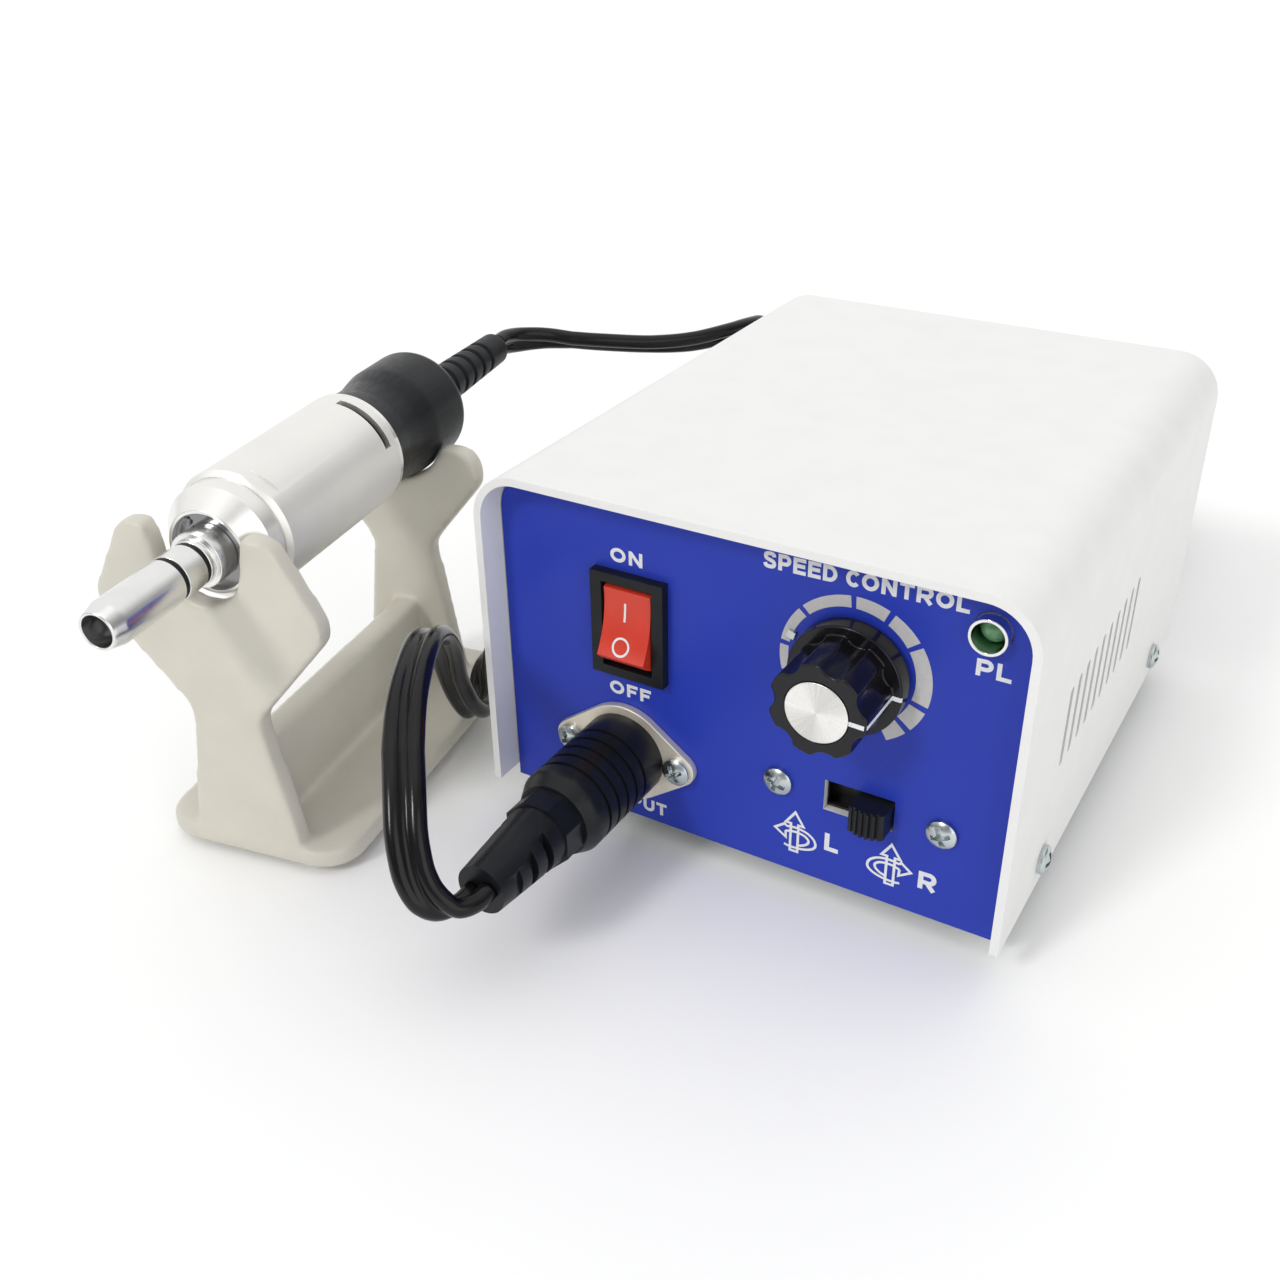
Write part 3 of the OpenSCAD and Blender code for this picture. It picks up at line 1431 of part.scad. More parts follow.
module coupling_spigot() {
    bore = bearing_r + nose_gap;
    color("silver") at_hand() difference() {
        union() {
            translate([0, 0, nose_floor]) cylinder(r = boss_r, h = boss_l);
            translate([0, 0, bearing_front + bearing_w])
                cylinder(r = bore - run_gap, h = nose_floor - bearing_front - bearing_w + eps);
            translate([0, 0, boss_front - eps])
                cylinder(r = coupling_r, h = tip_s - tip_taper - boss_front + eps);
            translate([0, 0, tip_s - tip_taper])
                cylinder(r1 = coupling_r, r2 = coupling_r - tip_chamfer, h = tip_taper);
        }
        translate([0, 0, bearing_front]) cylinder(r = coupling_bore, h = tip_s);
        for (i = [0, 1]) translate([0, 0, ring_s + i * ring_pitch])
            ring(boss_r, coupling_r - ring_d, ring_w);
    }
}

module coupling_rings() {
    color("black") at_hand() for (i = [0, 1]) {
        translate([0, 0, ring_s + i * ring_pitch])
            ring(coupling_r - ring_sunk, coupling_r - ring_d, ring_w);
    }
}

module nose_screw() {
    color("gray") at_hand() rotate(dot_turn) translate([0, dot_off, nose_floor]) difference() {
        union() {
            cylinder(r = dot_r, h = dot_h);
            translate([0, 0, -dot_l]) cylinder(r = dot_r / 2, h = dot_l + eps);
        }
        translate([-dot_r, -cross_w / 4, dot_h / 2]) cube([2 * dot_r, cross_w / 2, dot_h]);
    }
}

module magnets() {
    color("dimgray") at_hand() for (a = [0, 180]) {
        rotate(a - magnet_angle / 2) translate([0, 0, armature_s]) rotate_extrude(angle = magnet_angle)
            translate([magnet_in, 0]) square([motor_in - run_gap - magnet_in, armature_l]);
    }
}

module bearings() {
    color("silver") at_hand() {
        translate([0, 0, bearing_front]) ring(bearing_r, bearing_in, bearing_w);
        translate([0, 0, rear_bearing]) ring(bearing_r, bearing_in, bearing_w);
    }
}

module brush_spots() {
    for (a = [0, 180]) rotate(a) translate([comm_r, 0, comm_s - comm_l / 2]) rotate([0, 90, 0]) children();
}

module brush_holders() {
    outer = brush_w + 2 * holder_wall;
    inner = brush_w + 2 * cutout_gap;
    cavity = waist_r - tail_wall;
    reach = sqrt(cavity * cavity - outer * outer / 4) - comm_r;
    color("goldenrod") at_hand() brush_spots() translate([0, 0, holder_gap])
        linear_extrude(reach - holder_gap) difference() {
            square(outer, center = true);
            square(inner, center = true);
        }
}

module brushes() {
    color("black") at_hand() brush_spots() translate([0, 0, brush_gap])
        linear_extrude(brush_l) square(brush_w, center = true);
}

module tail_outline(inset) {
    r = tail_r - inset;
    waist = waist_r - inset;
    back = -tail_l + inset;
    rise = -waist_s - waist_l;
    core = r - tail_round;
    polygon([
        [0, 0], [motor_r - tail_step - inset, 0], [waist, -waist_s], [waist, rise], [r, rise - waist_rise],
        [r, back + tail_round], [core, back + tail_round], [core, back], [0, back],
    ]);
    translate([core, back + tail_round]) circle(r = tail_round);
}

module tail_cap() {
    bore = bearing_r + run_gap;
    color("black") at_hand() difference() {
        union() {
            difference() {
                rotate_extrude() intersection() {
                    tail_outline(0);
                    translate([0, -tail_l]) square([motor_r, tail_l]);
                }
                rotate_extrude() intersection() {
                    translate([0, tail_wall]) tail_outline(tail_wall);
                    translate([0, -tail_l]) square([motor_r, tail_l + 1]);
                }
                translate([0, 0, -tail_wall - 1]) cylinder(r = waist_r - tail_wall, h = tail_wall + 2);
            }
            translate([0, 0, -tail_l + tail_wall / 2])
                cylinder(r = bearing_r + tail_wall, h = rear_bearing + tail_l - tail_wall / 2 + bearing_w);
        }
        translate([0, 0, rear_bearing]) cylinder(r = bore, h = bearing_w + eps);
        translate([0, 0, -tail_l - eps]) cylinder(r = boot_end_r - 1, h = tail_l);
    }
}

module cord_boot() {
    step = boot_l / (boot_n + 2);
    color("black") at_hand() translate([0, 0, -tail_l]) rotate([180, 0, 0]) difference() {
        cylinder(r1 = boot_r, r2 = boot_end_r, h = boot_l);
        for (i = [1 : boot_n]) {
            translate([0, 0, step * i])
                ring(boot_r + 1, boot_r - (boot_r - boot_end_r) * step * i / boot_l - boot_d, boot_groove);
        }
    }
}

// Rotor
module rotor() {
    back = rear_bearing;
    color("dimgray") at_hand() difference() {
        union() {
            translate([0, 0, back]) cylinder(r = rotor_r, h = dog_s - dog_l - back + eps);
            translate([0, 0, armature_s]) difference() {
                cylinder(r = armature_r, h = armature_l);
                for (i = [0 : armature_n - 1]) rotate(360 * i / armature_n) {
                    translate([armature_r / 2, -armature_slot / 2, -eps])
                        cube([armature_r, armature_slot, armature_l + 2 * eps]);
                }
            }
            for (z = [armature_s - wind_end, armature_s + armature_l - eps]) {
                translate([0, 0, z]) cylinder(r = armature_r - wind_end / 2, h = wind_end + eps);
            }
            translate([0, 0, dog_s - dog_l]) cylinder(r = dog_r, h = dog_l);
        }
        translate([-dog_slot / 2, -dog_r - eps, dog_s - dog_l / 2])
            cube([dog_slot, 2 * dog_r + 2 * eps, dog_l]);
    }
}

module commutator() {
    color("peru") at_hand() translate([0, 0, comm_s - comm_l]) ring(comm_r, rotor_r + run_gap, comm_l);
}

// Rest for the handpiece
module fork(grip, rise, wide) {
    seat = grip + fork_gap;
    top = max(rise, 0) + 1;
    foot = pad_h - axis_h;
    half = [
        [seat + ear_w, rise], [wide, -fork_drop], [stem_w, -wide - stem_w],
        [foot_w, foot + rest_t], [foot_w, foot],
    ];
    linear_extrude(fork_t) translate([0, axis_h]) difference() {
        offset(r = fork_round) offset(r = -2 * fork_round) offset(r = fork_round)
            polygon(concat(half, [for (i = [len(half) - 1 : -1 : 0]) [-half[i][0], half[i][1]]]));
        circle(r = seat);
        polygon([[-seat, 0], [seat, 0], [seat + ear_flare, top], [-seat - ear_flare, top]]);
    }
}

module handpiece_rest() {
    l = rest_front + rest_back;
    color("linen") at_rest() {
        translate([0, (rest_back - rest_front) / 2, pad_h]) linear_extrude(rest_t)
            plate(2 * rest_w, l, rest_r);
        translate([0, -fork_front, 0]) rotate([90, 0, 0]) fork(nose_seat, ear_h, fork_w);
        translate([0, fork_back + fork_t, 0]) rotate([90, 0, 0]) fork(tail_r, -ear_drop, rear_w);
        translate([-web_w / 2, -fork_front - eps, pad_h])
            cube([web_w, fork_front + fork_back + 2 * eps, web_h]);
        for (x = [-1, 1], y = [-rest_front + rest_r, rest_back - rest_r]) {
            translate([x * (rest_w - rest_r), y, 0]) cylinder(r = pad_r, h = pad_h + eps);
        }
    }
}

// Flex
module cord_front() {
    color("black") placed() flex_tube(smooth(front_route, 2), mixed(front_broad, 2), flex_sides, flex_flat);
}

module cord_tail() {
    color("black") placed() flex_tube(smooth(tail_route, 2), mixed(tail_broad, 2), flex_sides, flex_flat);
}

function ease(s) = s * s * (3 - 2 * s);
function coil_radius(u) =
    u < coil_n ? coil_r - turn_pitch * u :
    u < coil_n + 0.5 ? coil_in - turn_pitch * min(u - coil_n, coil_n + 0.5 - u) :
    coil_in + turn_pitch * (u - coil_n - 0.5);
function coil_point(u) =
    let (a = coil_start - 360 * u, r = coil_radius(u), rise = ease(clamp((u - coil_n) / 0.5, 1)))
    coil_at + [r * cos(a), r * sin(a), coil_z + layer_pitch * rise];
function coil_way(u) = let (a = coil_start - 360 * u) [sin(a), -cos(a), 0];
coil_line = [
    coil_point(0) - flex_w * coil_way(0),
    for (i = [0 : coil_turns * coil_rings]) coil_point(i / coil_rings),
    coil_point(coil_turns) + flex_w * coil_way(coil_turns),
];
coil_broad = [for (p = coil_line) [0, 0, 1]];

module cord_coil() {
    points = flex_points(coil_line, coil_broad, coil_sides, 0);
    apart = coil_rings / 2 * coil_sides;
    last = len(points) - 1;
    gaps = [for (i = [0 : last - apart]) for (j = [i + apart : last]) norm(points[i] - points[j])];
    echo(least_gap_between_turns = min(gaps));
    color("black") placed() flex_tube(coil_line, coil_broad, coil_sides, 0);
}

module cord_tie() {
    spare = 0.3;
    inner = coil_in + turn_pitch / 4 - flex_t / 2 - spare;
    wide = turn_pitch * floor(coil_n - 1) + flex_t + 2 * spare;
    tall = flex_w + layer_pitch + 2 * spare;
    color("dimgray") placed() translate(coil_at + [0, 0, coil_lift - spare]) rotate(coil_start + 45)
        translate([inner, tie_w / 2, 0]) rotate([90, 0, 0]) linear_extrude(tie_w) difference() {
            translate([-tie_t, -tie_t]) square([wide + 2 * tie_t, tall + 2 * tie_t]);
            square([wide, tall]);
        }
}

top_cover();
base_tray();
front_panel();
cover_screws();
rubber_feet();
foot_screws();
rocker_housing();
rocker_terminals();
power_rocker();
speed_knob();
knob_cap();
pot_body();
pot_shaft();
pot_nut();
lamp_sleeve();
pilot_lamp();
slide_switch();
direction_slider();
panel_screws();
socket_flange();
socket_insert();
socket_tags();
plug_sleeve();
plug_pins();
plug_body();
mains_inlet();
inlet_pins();
inlet_screws();
fuse_holder();
fuse_link();
fuse_cap();
pedal_jack();
jack_nut();
transformer_core();
transformer_winding();
transformer_bracket();
tray_screws();
control_board();
board_posts();
capacitors();
heat_sink();
power_transistor();
motor_sleeve();
nose_cap();
coupling_spigot();
coupling_rings();
nose_screw();
magnets();
bearings();
brush_holders();
brushes();
tail_cap();
cord_boot();
rotor();
commutator();
handpiece_rest();
cord_front();
cord_coil();
cord_tail();
cord_tie();
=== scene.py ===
import json
import math

import bpy
from mathutils import Matrix, Vector


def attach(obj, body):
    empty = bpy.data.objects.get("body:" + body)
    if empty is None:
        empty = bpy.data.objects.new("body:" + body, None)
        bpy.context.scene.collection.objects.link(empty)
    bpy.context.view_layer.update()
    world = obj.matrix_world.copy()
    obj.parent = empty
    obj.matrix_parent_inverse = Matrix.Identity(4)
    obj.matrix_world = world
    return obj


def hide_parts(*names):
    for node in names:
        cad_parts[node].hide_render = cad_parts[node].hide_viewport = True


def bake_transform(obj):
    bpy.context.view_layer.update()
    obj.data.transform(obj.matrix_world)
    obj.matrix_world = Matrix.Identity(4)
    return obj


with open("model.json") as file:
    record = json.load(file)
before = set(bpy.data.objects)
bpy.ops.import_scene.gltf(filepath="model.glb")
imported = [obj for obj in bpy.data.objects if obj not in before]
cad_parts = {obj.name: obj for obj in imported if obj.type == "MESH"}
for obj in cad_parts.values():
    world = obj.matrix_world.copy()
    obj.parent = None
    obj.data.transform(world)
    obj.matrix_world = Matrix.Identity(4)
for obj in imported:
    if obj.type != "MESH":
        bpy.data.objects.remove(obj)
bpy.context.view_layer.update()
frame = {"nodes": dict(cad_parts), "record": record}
nodes = frame["nodes"]
scene = bpy.context.scene

MM = 0.001
# Box coordinates start at the cover's left wall and front edge, on the table
ORIGIN = Vector((19.88549109557689, 33.02233012092137, 0.0))
COVER_Z = 7.3
PANEL_Y = 6.0
# Centres on the panel, and the rear end and direction of the handpiece's sleeve
KNOB_X, KNOB_Z = 72.5, 44.1
ROCKER_X, ROCKER_Z = 29.1, 40.4
SLEEVE_END = (-40.5, 13, 64.8)
HAND_WAY = Vector((0.1805, -0.9836, 0))


def at(x, y, z):
    """A point in box millimetres, as metres in the shared frame."""
    return (Vector((x, y, z)) - ORIGIN) * MM


def on_panel(x, z, out=0.0):
    """A point on the front panel, out millimetres in front of it."""
    return at(x, PANEL_Y - out, z + COVER_Z)


# Camera, as fitted to the edges of the panel and the cover

CAMERA_AT = Vector((123.845, -211.182, 172.21))
CAMERA_RIGHT = Vector((0.8577, 0.5139, -0.0153)).normalized()
CAMERA_BACK = Vector((0.4495, -0.7351, 0.5076)).normalized()

camera_data = bpy.data.cameras.new("camera")
camera_data.lens = 38.91
camera_data.sensor_width = 36.0
camera_data.sensor_fit = "HORIZONTAL"
camera_data.clip_start = 0.01
camera_data.clip_end = 40.0
camera = bpy.data.objects.new("camera", camera_data)
scene.collection.objects.link(camera)
camera_up = CAMERA_BACK.cross(CAMERA_RIGHT).normalized()
turn = Matrix((CAMERA_RIGHT, camera_up, CAMERA_BACK)).transposed().to_4x4()
camera.matrix_world = Matrix.Translation(CAMERA_AT * MM) @ turn
scene.camera = camera
scene.view_settings.view_transform = "Standard"


# Meshes


def make(name, verts, faces, smooth=True):
    """A new object from points in metres and faces."""
    mesh = bpy.data.meshes.new(name)
    mesh.from_pydata([tuple(v) for v in verts], [], faces)
    mesh.validate()
    mesh.update()
    for polygon in mesh.polygons:
        polygon.use_smooth = smooth
    made = bpy.data.objects.new(name, mesh)
    scene.collection.objects.link(made)
    return made


def spline(points, steps):
    """A Catmull-Rom curve through the points, its ends included."""
    points = [Vector(p) for p in points]
    ends = [points[0] * 2 - points[1]] + points + [points[-1] * 2 - points[-2]]
    out = []
    for i in range(1, len(ends) - 2):
        a, b, c, d = ends[i - 1 : i + 3]
        for k in range(steps):
            t = k / steps
            linear = (c - a) * t
            square = (a * 2 - b * 5 + c * 4 - d) * t * t
            cube = (b * 3 - a - c * 3 + d) * t**3
            out.append((b * 2 + linear + square + cube) / 2)
    return out + [points[-1]]


def fade(values, steps):
    """Straight steps between the values, to go with spline()."""
    values = [Vector(v) for v in values]
    out = []
    for a, b in zip(values, values[1:]):
        out += [a.lerp(b, k / steps) for k in range(steps)]
    return out + [values[-1]]


def sweep(name, path, broad, section):
    """A tube of that section along a path in box millimetres, its width lying along broad."""
    verts, faces = [], []
    count = len(section)
    last = len(path) - 1
    for i, p in enumerate(path):
        way = (path[min(i + 1, last)] - path[max(i - 1, 0)]).normalized()
        wide = (broad[i] - way * broad[i].dot(way)).normalized()
        thin = way.cross(wide)
        verts += [at(*(p + wide * x + thin * y)) for x, y in section]
    for i in range(last):
        for k in range(count):
            n = (k + 1) % count
            faces.append((i * count + k, i * count + n, (i + 1) * count + n, (i + 1) * count + k))
    faces.append(tuple(range(count))[::-1])
    faces.append(tuple(last * count + k for k in range(count)))
    return make(name, verts, faces)


# Cords: a flat twin flex, two round cores side by side

CORE_R = 1.7
CORE_X = 1.9
ARC = [math.radians(a) for a in range(-150, 151, 20)]
TWIN = [(CORE_X + CORE_R * math.cos(a), CORE_R * math.sin(a)) for a in ARC]
TWIN += [(-CORE_X - CORE_R * math.cos(a), -CORE_R * math.sin(a)) for a in ARC]

# From the plug, up in a loop, down past the left side of the box and along the table to the coil
FRONT_ROUTE = [
    (28, -41, 20), (27.8, -44.6, 19.8), (26.2, -47.8, 20.4), (23.8, -49.5, 22.8), (21.5, -49.3, 25.9),
    (19.6, -48, 29), (17.9, -46.3, 32), (16.4, -44.3, 34.7), (14.7, -42, 37.3), (12.9, -39.6, 39.5),
    (11, -37, 41.5), (6.4, -30, 44.5), (1.6, -21.5, 46), (-2.7, -13.5, 45.4), (-6.6, -6, 41.2),
    (-9.8, 0, 34), (-12.5, 4.5, 25), (-13.7, 8.8, 16.2), (-15, 14, 10.2), (-18, 20.5, 9.5),
    (-22, 26.5, 12), (-24, 33, 13), (-22.8, 41, 11.2), (-18.5, 50, 7.8), (-14, 60, 5.2),
    (-11.5, 74, 4.7), (-10.5, 91, 4.7), (-10, 109, 4.7), (-7.5, 126, 4.7), (-2, 143, 4.7),
    (3, 156, 4.7), (5.5, 165, 4.7), (5.5, 170.8, 4.7),
]
FRONT_BROAD = [
    (0.9, 0, 0.4), (0.9, 0.1, 0.4), (0.9, 0.3, 0.3), (0.8, 0.5, 0.2), (0.8, 0.6, 0.1),
    (0.8, 0.6, 0), (0.8, 0.6, 0), (0.8, 0.6, 0), (0.8, 0.6, 0), (0.8, 0.6, 0),
    (0.8, 0.6, 0), (0.8, 0.5, 0.1), (0.8, 0.4, 0.2), (0.8, 0.3, 0.2), (0.8, 0.2, 0.2),
    (0.9, 0.2, 0), (1, 0, 0), (1, 0.1, 0), (0.9, 0.3, 0.2), (0.8, 0.3, 0.4),
    (0.6, 0.2, 0.7), (0.4, 0, 0.9), (0.2, 0, 1), (0, 0, 1), (0, 0, 1),
    (0, 0, 1), (0, 0, 1), (0, 0, 1), (0, 0, 1), (0, 0, 1),
    (0, 0, 1), (0, 0, 1), (0, 0, 1),
]
# From the boot of the handpiece, round the left rear corner of the box and down to the coil
TAIL_ROUTE = [
    (-52.5, 78.2, 64.8), (-53.2, 82.4, 64.8), (-52.6, 88, 64), (-48.4, 93.8, 63.4), (-42.8, 97.4, 62.8),
    (-37, 100.8, 62.2), (-27, 107.8, 61.2), (-19.5, 115.2, 60.8), (-14.5, 123.5, 61), (-12.4, 131, 60.8),
    (-12, 138.5, 59.5), (-9, 145.5, 54), (-2.5, 148.5, 45.5), (5.5, 147.5, 36), (14, 144.5, 27),
    (23, 140.5, 19), (31.5, 137.8, 14), (38.8, 137.5, 12.4),
]
TAIL_BROAD = [
    (-0.5, -0.1, -0.8), (-0.5, -0.1, -0.8), (-0.5, 0.1, -0.8), (-0.5, 0.5, -0.7), (-0.5, 0.7, -0.5),
    (-0.4, 0.7, -0.5), (-0.4, 0.7, -0.5), (-0.4, 0.6, -0.6), (-0.5, 0.4, -0.7), (-0.6, 0.2, -0.7),
    (-0.8, 0.2, -0.5), (-0.8, 0.4, -0.5), (-0.6, 0.6, -0.5), (-0.5, 0.5, -0.7), (-0.5, 0.3, -0.8),
    (-0.4, 0.1, -0.9), (-0.2, 0, -1), (0, 0, -1),
]
ROUTE_STEPS = 6

# The coil behind the box: the lower layer winds in, the upper one out again
COIL_CENTRE = (46.0, 178.0)
COIL_TURNS = 4.75
COIL_STEPS = 330
COIL_OUTER = 40.5
COIL_INNER = 32
COIL_PITCH = 4
RISE_START = 2.125
RISE_STOP = 2.625
COIL_Z = 4.7
LAYER_RISE = 7.7


def coil_point(u):
    """A point of the stored coil after u turns."""
    if u < RISE_START:
        radius = COIL_OUTER - COIL_PITCH * u
    elif u < RISE_STOP:
        radius = COIL_INNER - COIL_PITCH * min(u - RISE_START, RISE_STOP - u)
    else:
        radius = COIL_INNER + COIL_PITCH * (u - RISE_STOP)
    rise = min(max((u - RISE_START) / (RISE_STOP - RISE_START), 0), 1)
    a = math.radians(180 - 360 * u)
    x = COIL_CENTRE[0] + radius * math.cos(a)
    y = COIL_CENTRE[1] + radius * math.sin(a)
    return Vector((x, y, COIL_Z + LAYER_RISE * rise * rise * (3 - 2 * rise)))


UP = Vector((0, 0, 1))
coil_path = [coil_point(COIL_TURNS * k / COIL_STEPS) for k in range(COIL_STEPS + 1)]
coil_path.append(Vector(TAIL_ROUTE[-1]))
front_path = spline(FRONT_ROUTE, ROUTE_STEPS) + coil_path
front_broad = fade(FRONT_BROAD, ROUTE_STEPS) + [UP] * len(coil_path)
flex_front = sweep("flex_front", front_path, front_broad, TWIN)
tail_path = spline(TAIL_ROUTE, ROUTE_STEPS)
flex_tail = sweep("flex_tail", tail_path, fade(TAIL_BROAD, ROUTE_STEPS), TWIN)

# The tie: a woven strap round the coil with a free end laid along it

TIE_ANGLE = math.radians(225)
TIE_RADIUS = 35
TIE_Z = 8.55
TIE_HALF_WIDE = 4.4
TIE_HALF_HIGH = 7.8
TIE_THICK = 0.7
TIE_HALF_BAND = 2.5
TIE_CORNER = 0.45
TIE_STEPS = 64
END_STEPS = 12
END_START = 1.5
END_STRIDE = 0.72
END_Z = 7.85
END_LIFT = 0.75
END_CURL = 1.6
END_THICK = 0.6
END_HALF_BAND = 2.3


def strap_sides(a, b):
    """The four sides of the strap between two sections, whose first corners are a and b."""
    return [
        (a, b, b + 1, a + 1),
        (a + 2, a + 3, b + 3, b + 2),
        (a, a + 2, b + 2, b),
        (a + 1, b + 1, b + 3, a + 3),
    ]


tie_way = Vector((math.cos(TIE_ANGLE), math.sin(TIE_ANGLE), 0))
tie_side = Vector((-tie_way.y, tie_way.x, 0))
tie_centre = Vector((*COIL_CENTRE, 0)) + tie_way * TIE_RADIUS + Vector((0, 0, TIE_Z))
verts, faces = [], []
for k in range(TIE_STEPS):
    a = 2 * math.pi * k / TIE_STEPS
    c, s = math.cos(a), math.sin(a)
    r = math.copysign(abs(c) ** TIE_CORNER, c) * TIE_HALF_WIDE
    h = math.copysign(abs(s) ** TIE_CORNER, s) * TIE_HALF_HIGH
    outward = Vector((r / TIE_HALF_WIDE**2, h / TIE_HALF_HIGH**2)).normalized() * TIE_THICK
    for dr, dh in ((0, 0), (outward.x, outward.y)):
        for side in (-TIE_HALF_BAND, TIE_HALF_BAND):
            verts.append(at(*(tie_centre + tie_way * (r + dr) + UP * (h + dh) + tie_side * side)))
    faces += strap_sides(k * 4, (k + 1) % TIE_STEPS * 4)
base = len(verts)
for k in range(END_STEPS + 1):
    lift = END_LIFT + END_CURL * (k / END_STEPS) ** 2
    for dh in (0, END_THICK):
        for side in (-END_HALF_BAND, END_HALF_BAND):
            height = END_Z + lift - TIE_THICK + dh
            place = tie_centre + tie_way * (END_START + k * END_STRIDE) + UP * height
            verts.append(at(*(place + tie_side * side)))
for k in range(END_STEPS):
    faces += strap_sides(base + k * 4, base + (k + 1) * 4)
tip = base + END_STEPS * 4
faces += [(base, base + 1, base + 3, base + 2), (tip, tip + 2, tip + 3, tip + 1)]
flex_tie = make("flex_tie", verts, faces)

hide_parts("cord_front", "cord_coil")
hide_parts("cord_tail")
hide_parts("cord_tie")
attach(flex_front, "case")
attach(flex_tie, "case")
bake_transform(flex_tail)


# Materials


class Paint:
    """A Principled surface whose colour, roughness and bump vary over the object."""

    def __init__(self, name, colour, rough, metal=0.0, **sockets):
        self.material = bpy.data.materials.new(name)
        self.material.use_nodes = True
        self.tree = self.material.node_tree
        self.shader = self.tree.nodes["Principled BSDF"]
        self.set("Base Color", (*colour, 1))
        self.set("Roughness", rough)
        self.set("Metallic", metal)
        for key, value in sockets.items():
            self.set(key.replace("_", " "), value)
        self.colour = colour
        self.rough = rough
        self.place = self.add("ShaderNodeTexCoord").outputs["Object"]
        self.height = None

    def set(self, socket, value):
        self.shader.inputs[socket].default_value = value

    def add(self, kind, **settings):
        node = self.tree.nodes.new(kind)
        for key, value in settings.items():
            setattr(node, key, value)
        return node

    def link(self, a, b):
        self.tree.links.new(a, b)

    def wire(self, value, socket):
        """Links a value to one of the shader's own sockets."""
        self.link(value, self.shader.inputs[socket])

    def math(self, operation, a, b=0.0):
        node = self.add("ShaderNodeMath", operation=operation)
        for socket, value in zip(node.inputs, (a, b)):
            if isinstance(value, (int, float)):
                socket.default_value = value
            else:
                self.link(value, socket)
        return node.outputs[0]

    def vector(self, operation, a, b):
        node = self.add("ShaderNodeVectorMath", operation=operation)
        self.link(a, node.inputs[0])
        node.inputs[1].default_value = b
        return node.outputs["Value" if operation in ("DOT_PRODUCT", "LENGTH") else "Vector"]

    def split(self, value):
        """The three parts of a vector."""
        node = self.add("ShaderNodeSeparateXYZ")
        self.link(value, node.inputs[0])
        return node.outputs

    def noise(self, size):
        """Noise with features about size millimetres across."""
        node = self.add("ShaderNodeTexNoise")
        node.inputs["Scale"].default_value = 1 / (size * MM)
        node.inputs["Detail"].default_value = 3.0
        self.link(self.place, node.inputs["Vector"])
        return node.outputs[0]

    def span(self, value, low, high, start=0.25, stop=0.75):
        """The value, spread from start and stop to low and high."""
        node = self.add("ShaderNodeMapRange")
        self.link(value, node.inputs["Value"])
        for socket, number in zip(("From Min", "From Max", "To Min", "To Max"), (start, stop, low, high)):
            node.inputs[socket].default_value = number
        return node.outputs[0]

    def mix(self, factor, a, b):
        node = self.add("ShaderNodeMix", data_type="RGBA")
        self.link(factor, node.inputs[0])
        for socket, value in ((node.inputs[6], a), (node.inputs[7], b)):
            if isinstance(value, tuple):
                socket.default_value = (*value, 1)
            else:
                self.link(value, socket)
        return node.outputs[2]

    def tone(self, size, amount):
        """Colour that drifts lighter and darker."""
        dark = tuple(c * (1 - amount) for c in self.colour)
        pale = tuple(min(c * (1 + amount), 1) for c in self.colour)
        shade = self.mix(self.span(self.noise(size), 0, 1), dark, pale)
        self.wire(shade, "Base Color")
        return shade

    def worn(self, size, amount):
        """Roughness that drifts."""
        value = self.span(self.noise(size), max(self.rough - amount, 0.02), self.rough + amount)
        self.wire(value, "Roughness")

    def bump(self, height, depth):
        """Raises the surface by up to depth millimetres where height is 1."""
        node = self.add("ShaderNodeBump")
        node.inputs["Strength"].default_value = 1.0
        node.inputs["Distance"].default_value = depth * MM
        self.link(height, node.inputs["Height"])
        if self.height:
            self.link(self.height, node.inputs["Normal"])
        self.height = node.outputs[0]
        self.wire(self.height, "Normal")

    def line(self, value, scale):
        """Noise along one value."""
        node = self.add("ShaderNodeTexNoise", noise_dimensions="1D")
        self.link(value, node.inputs["W"])
        node.inputs["Scale"].default_value = scale
        node.inputs["Detail"].default_value = 2.0
        return node.outputs[0]

    def ahead(self):
        """How far a point lies along the handpiece, from the rear end of its sleeve."""
        return self.vector("DOT_PRODUCT", self.vector("SUBTRACT", self.place, tuple(HAND)), tuple(HAND_WAY))


def plain(
    name, colour, rough, metal=0.0, tone=0.05, tone_size=7.0, worn=0.06, grain=0.4, depth=0.004, **sockets
):
    """A finish with some drift of colour and roughness and a fine grain."""
    paint = Paint(name, colour, rough, metal, **sockets)
    paint.tone(tone_size, tone)
    paint.worn(grain * 5, worn)
    paint.bump(paint.noise(grain), depth)
    return paint


HAND = at(*SLEEVE_END)
KNOB = on_panel(KNOB_X, KNOB_Z)

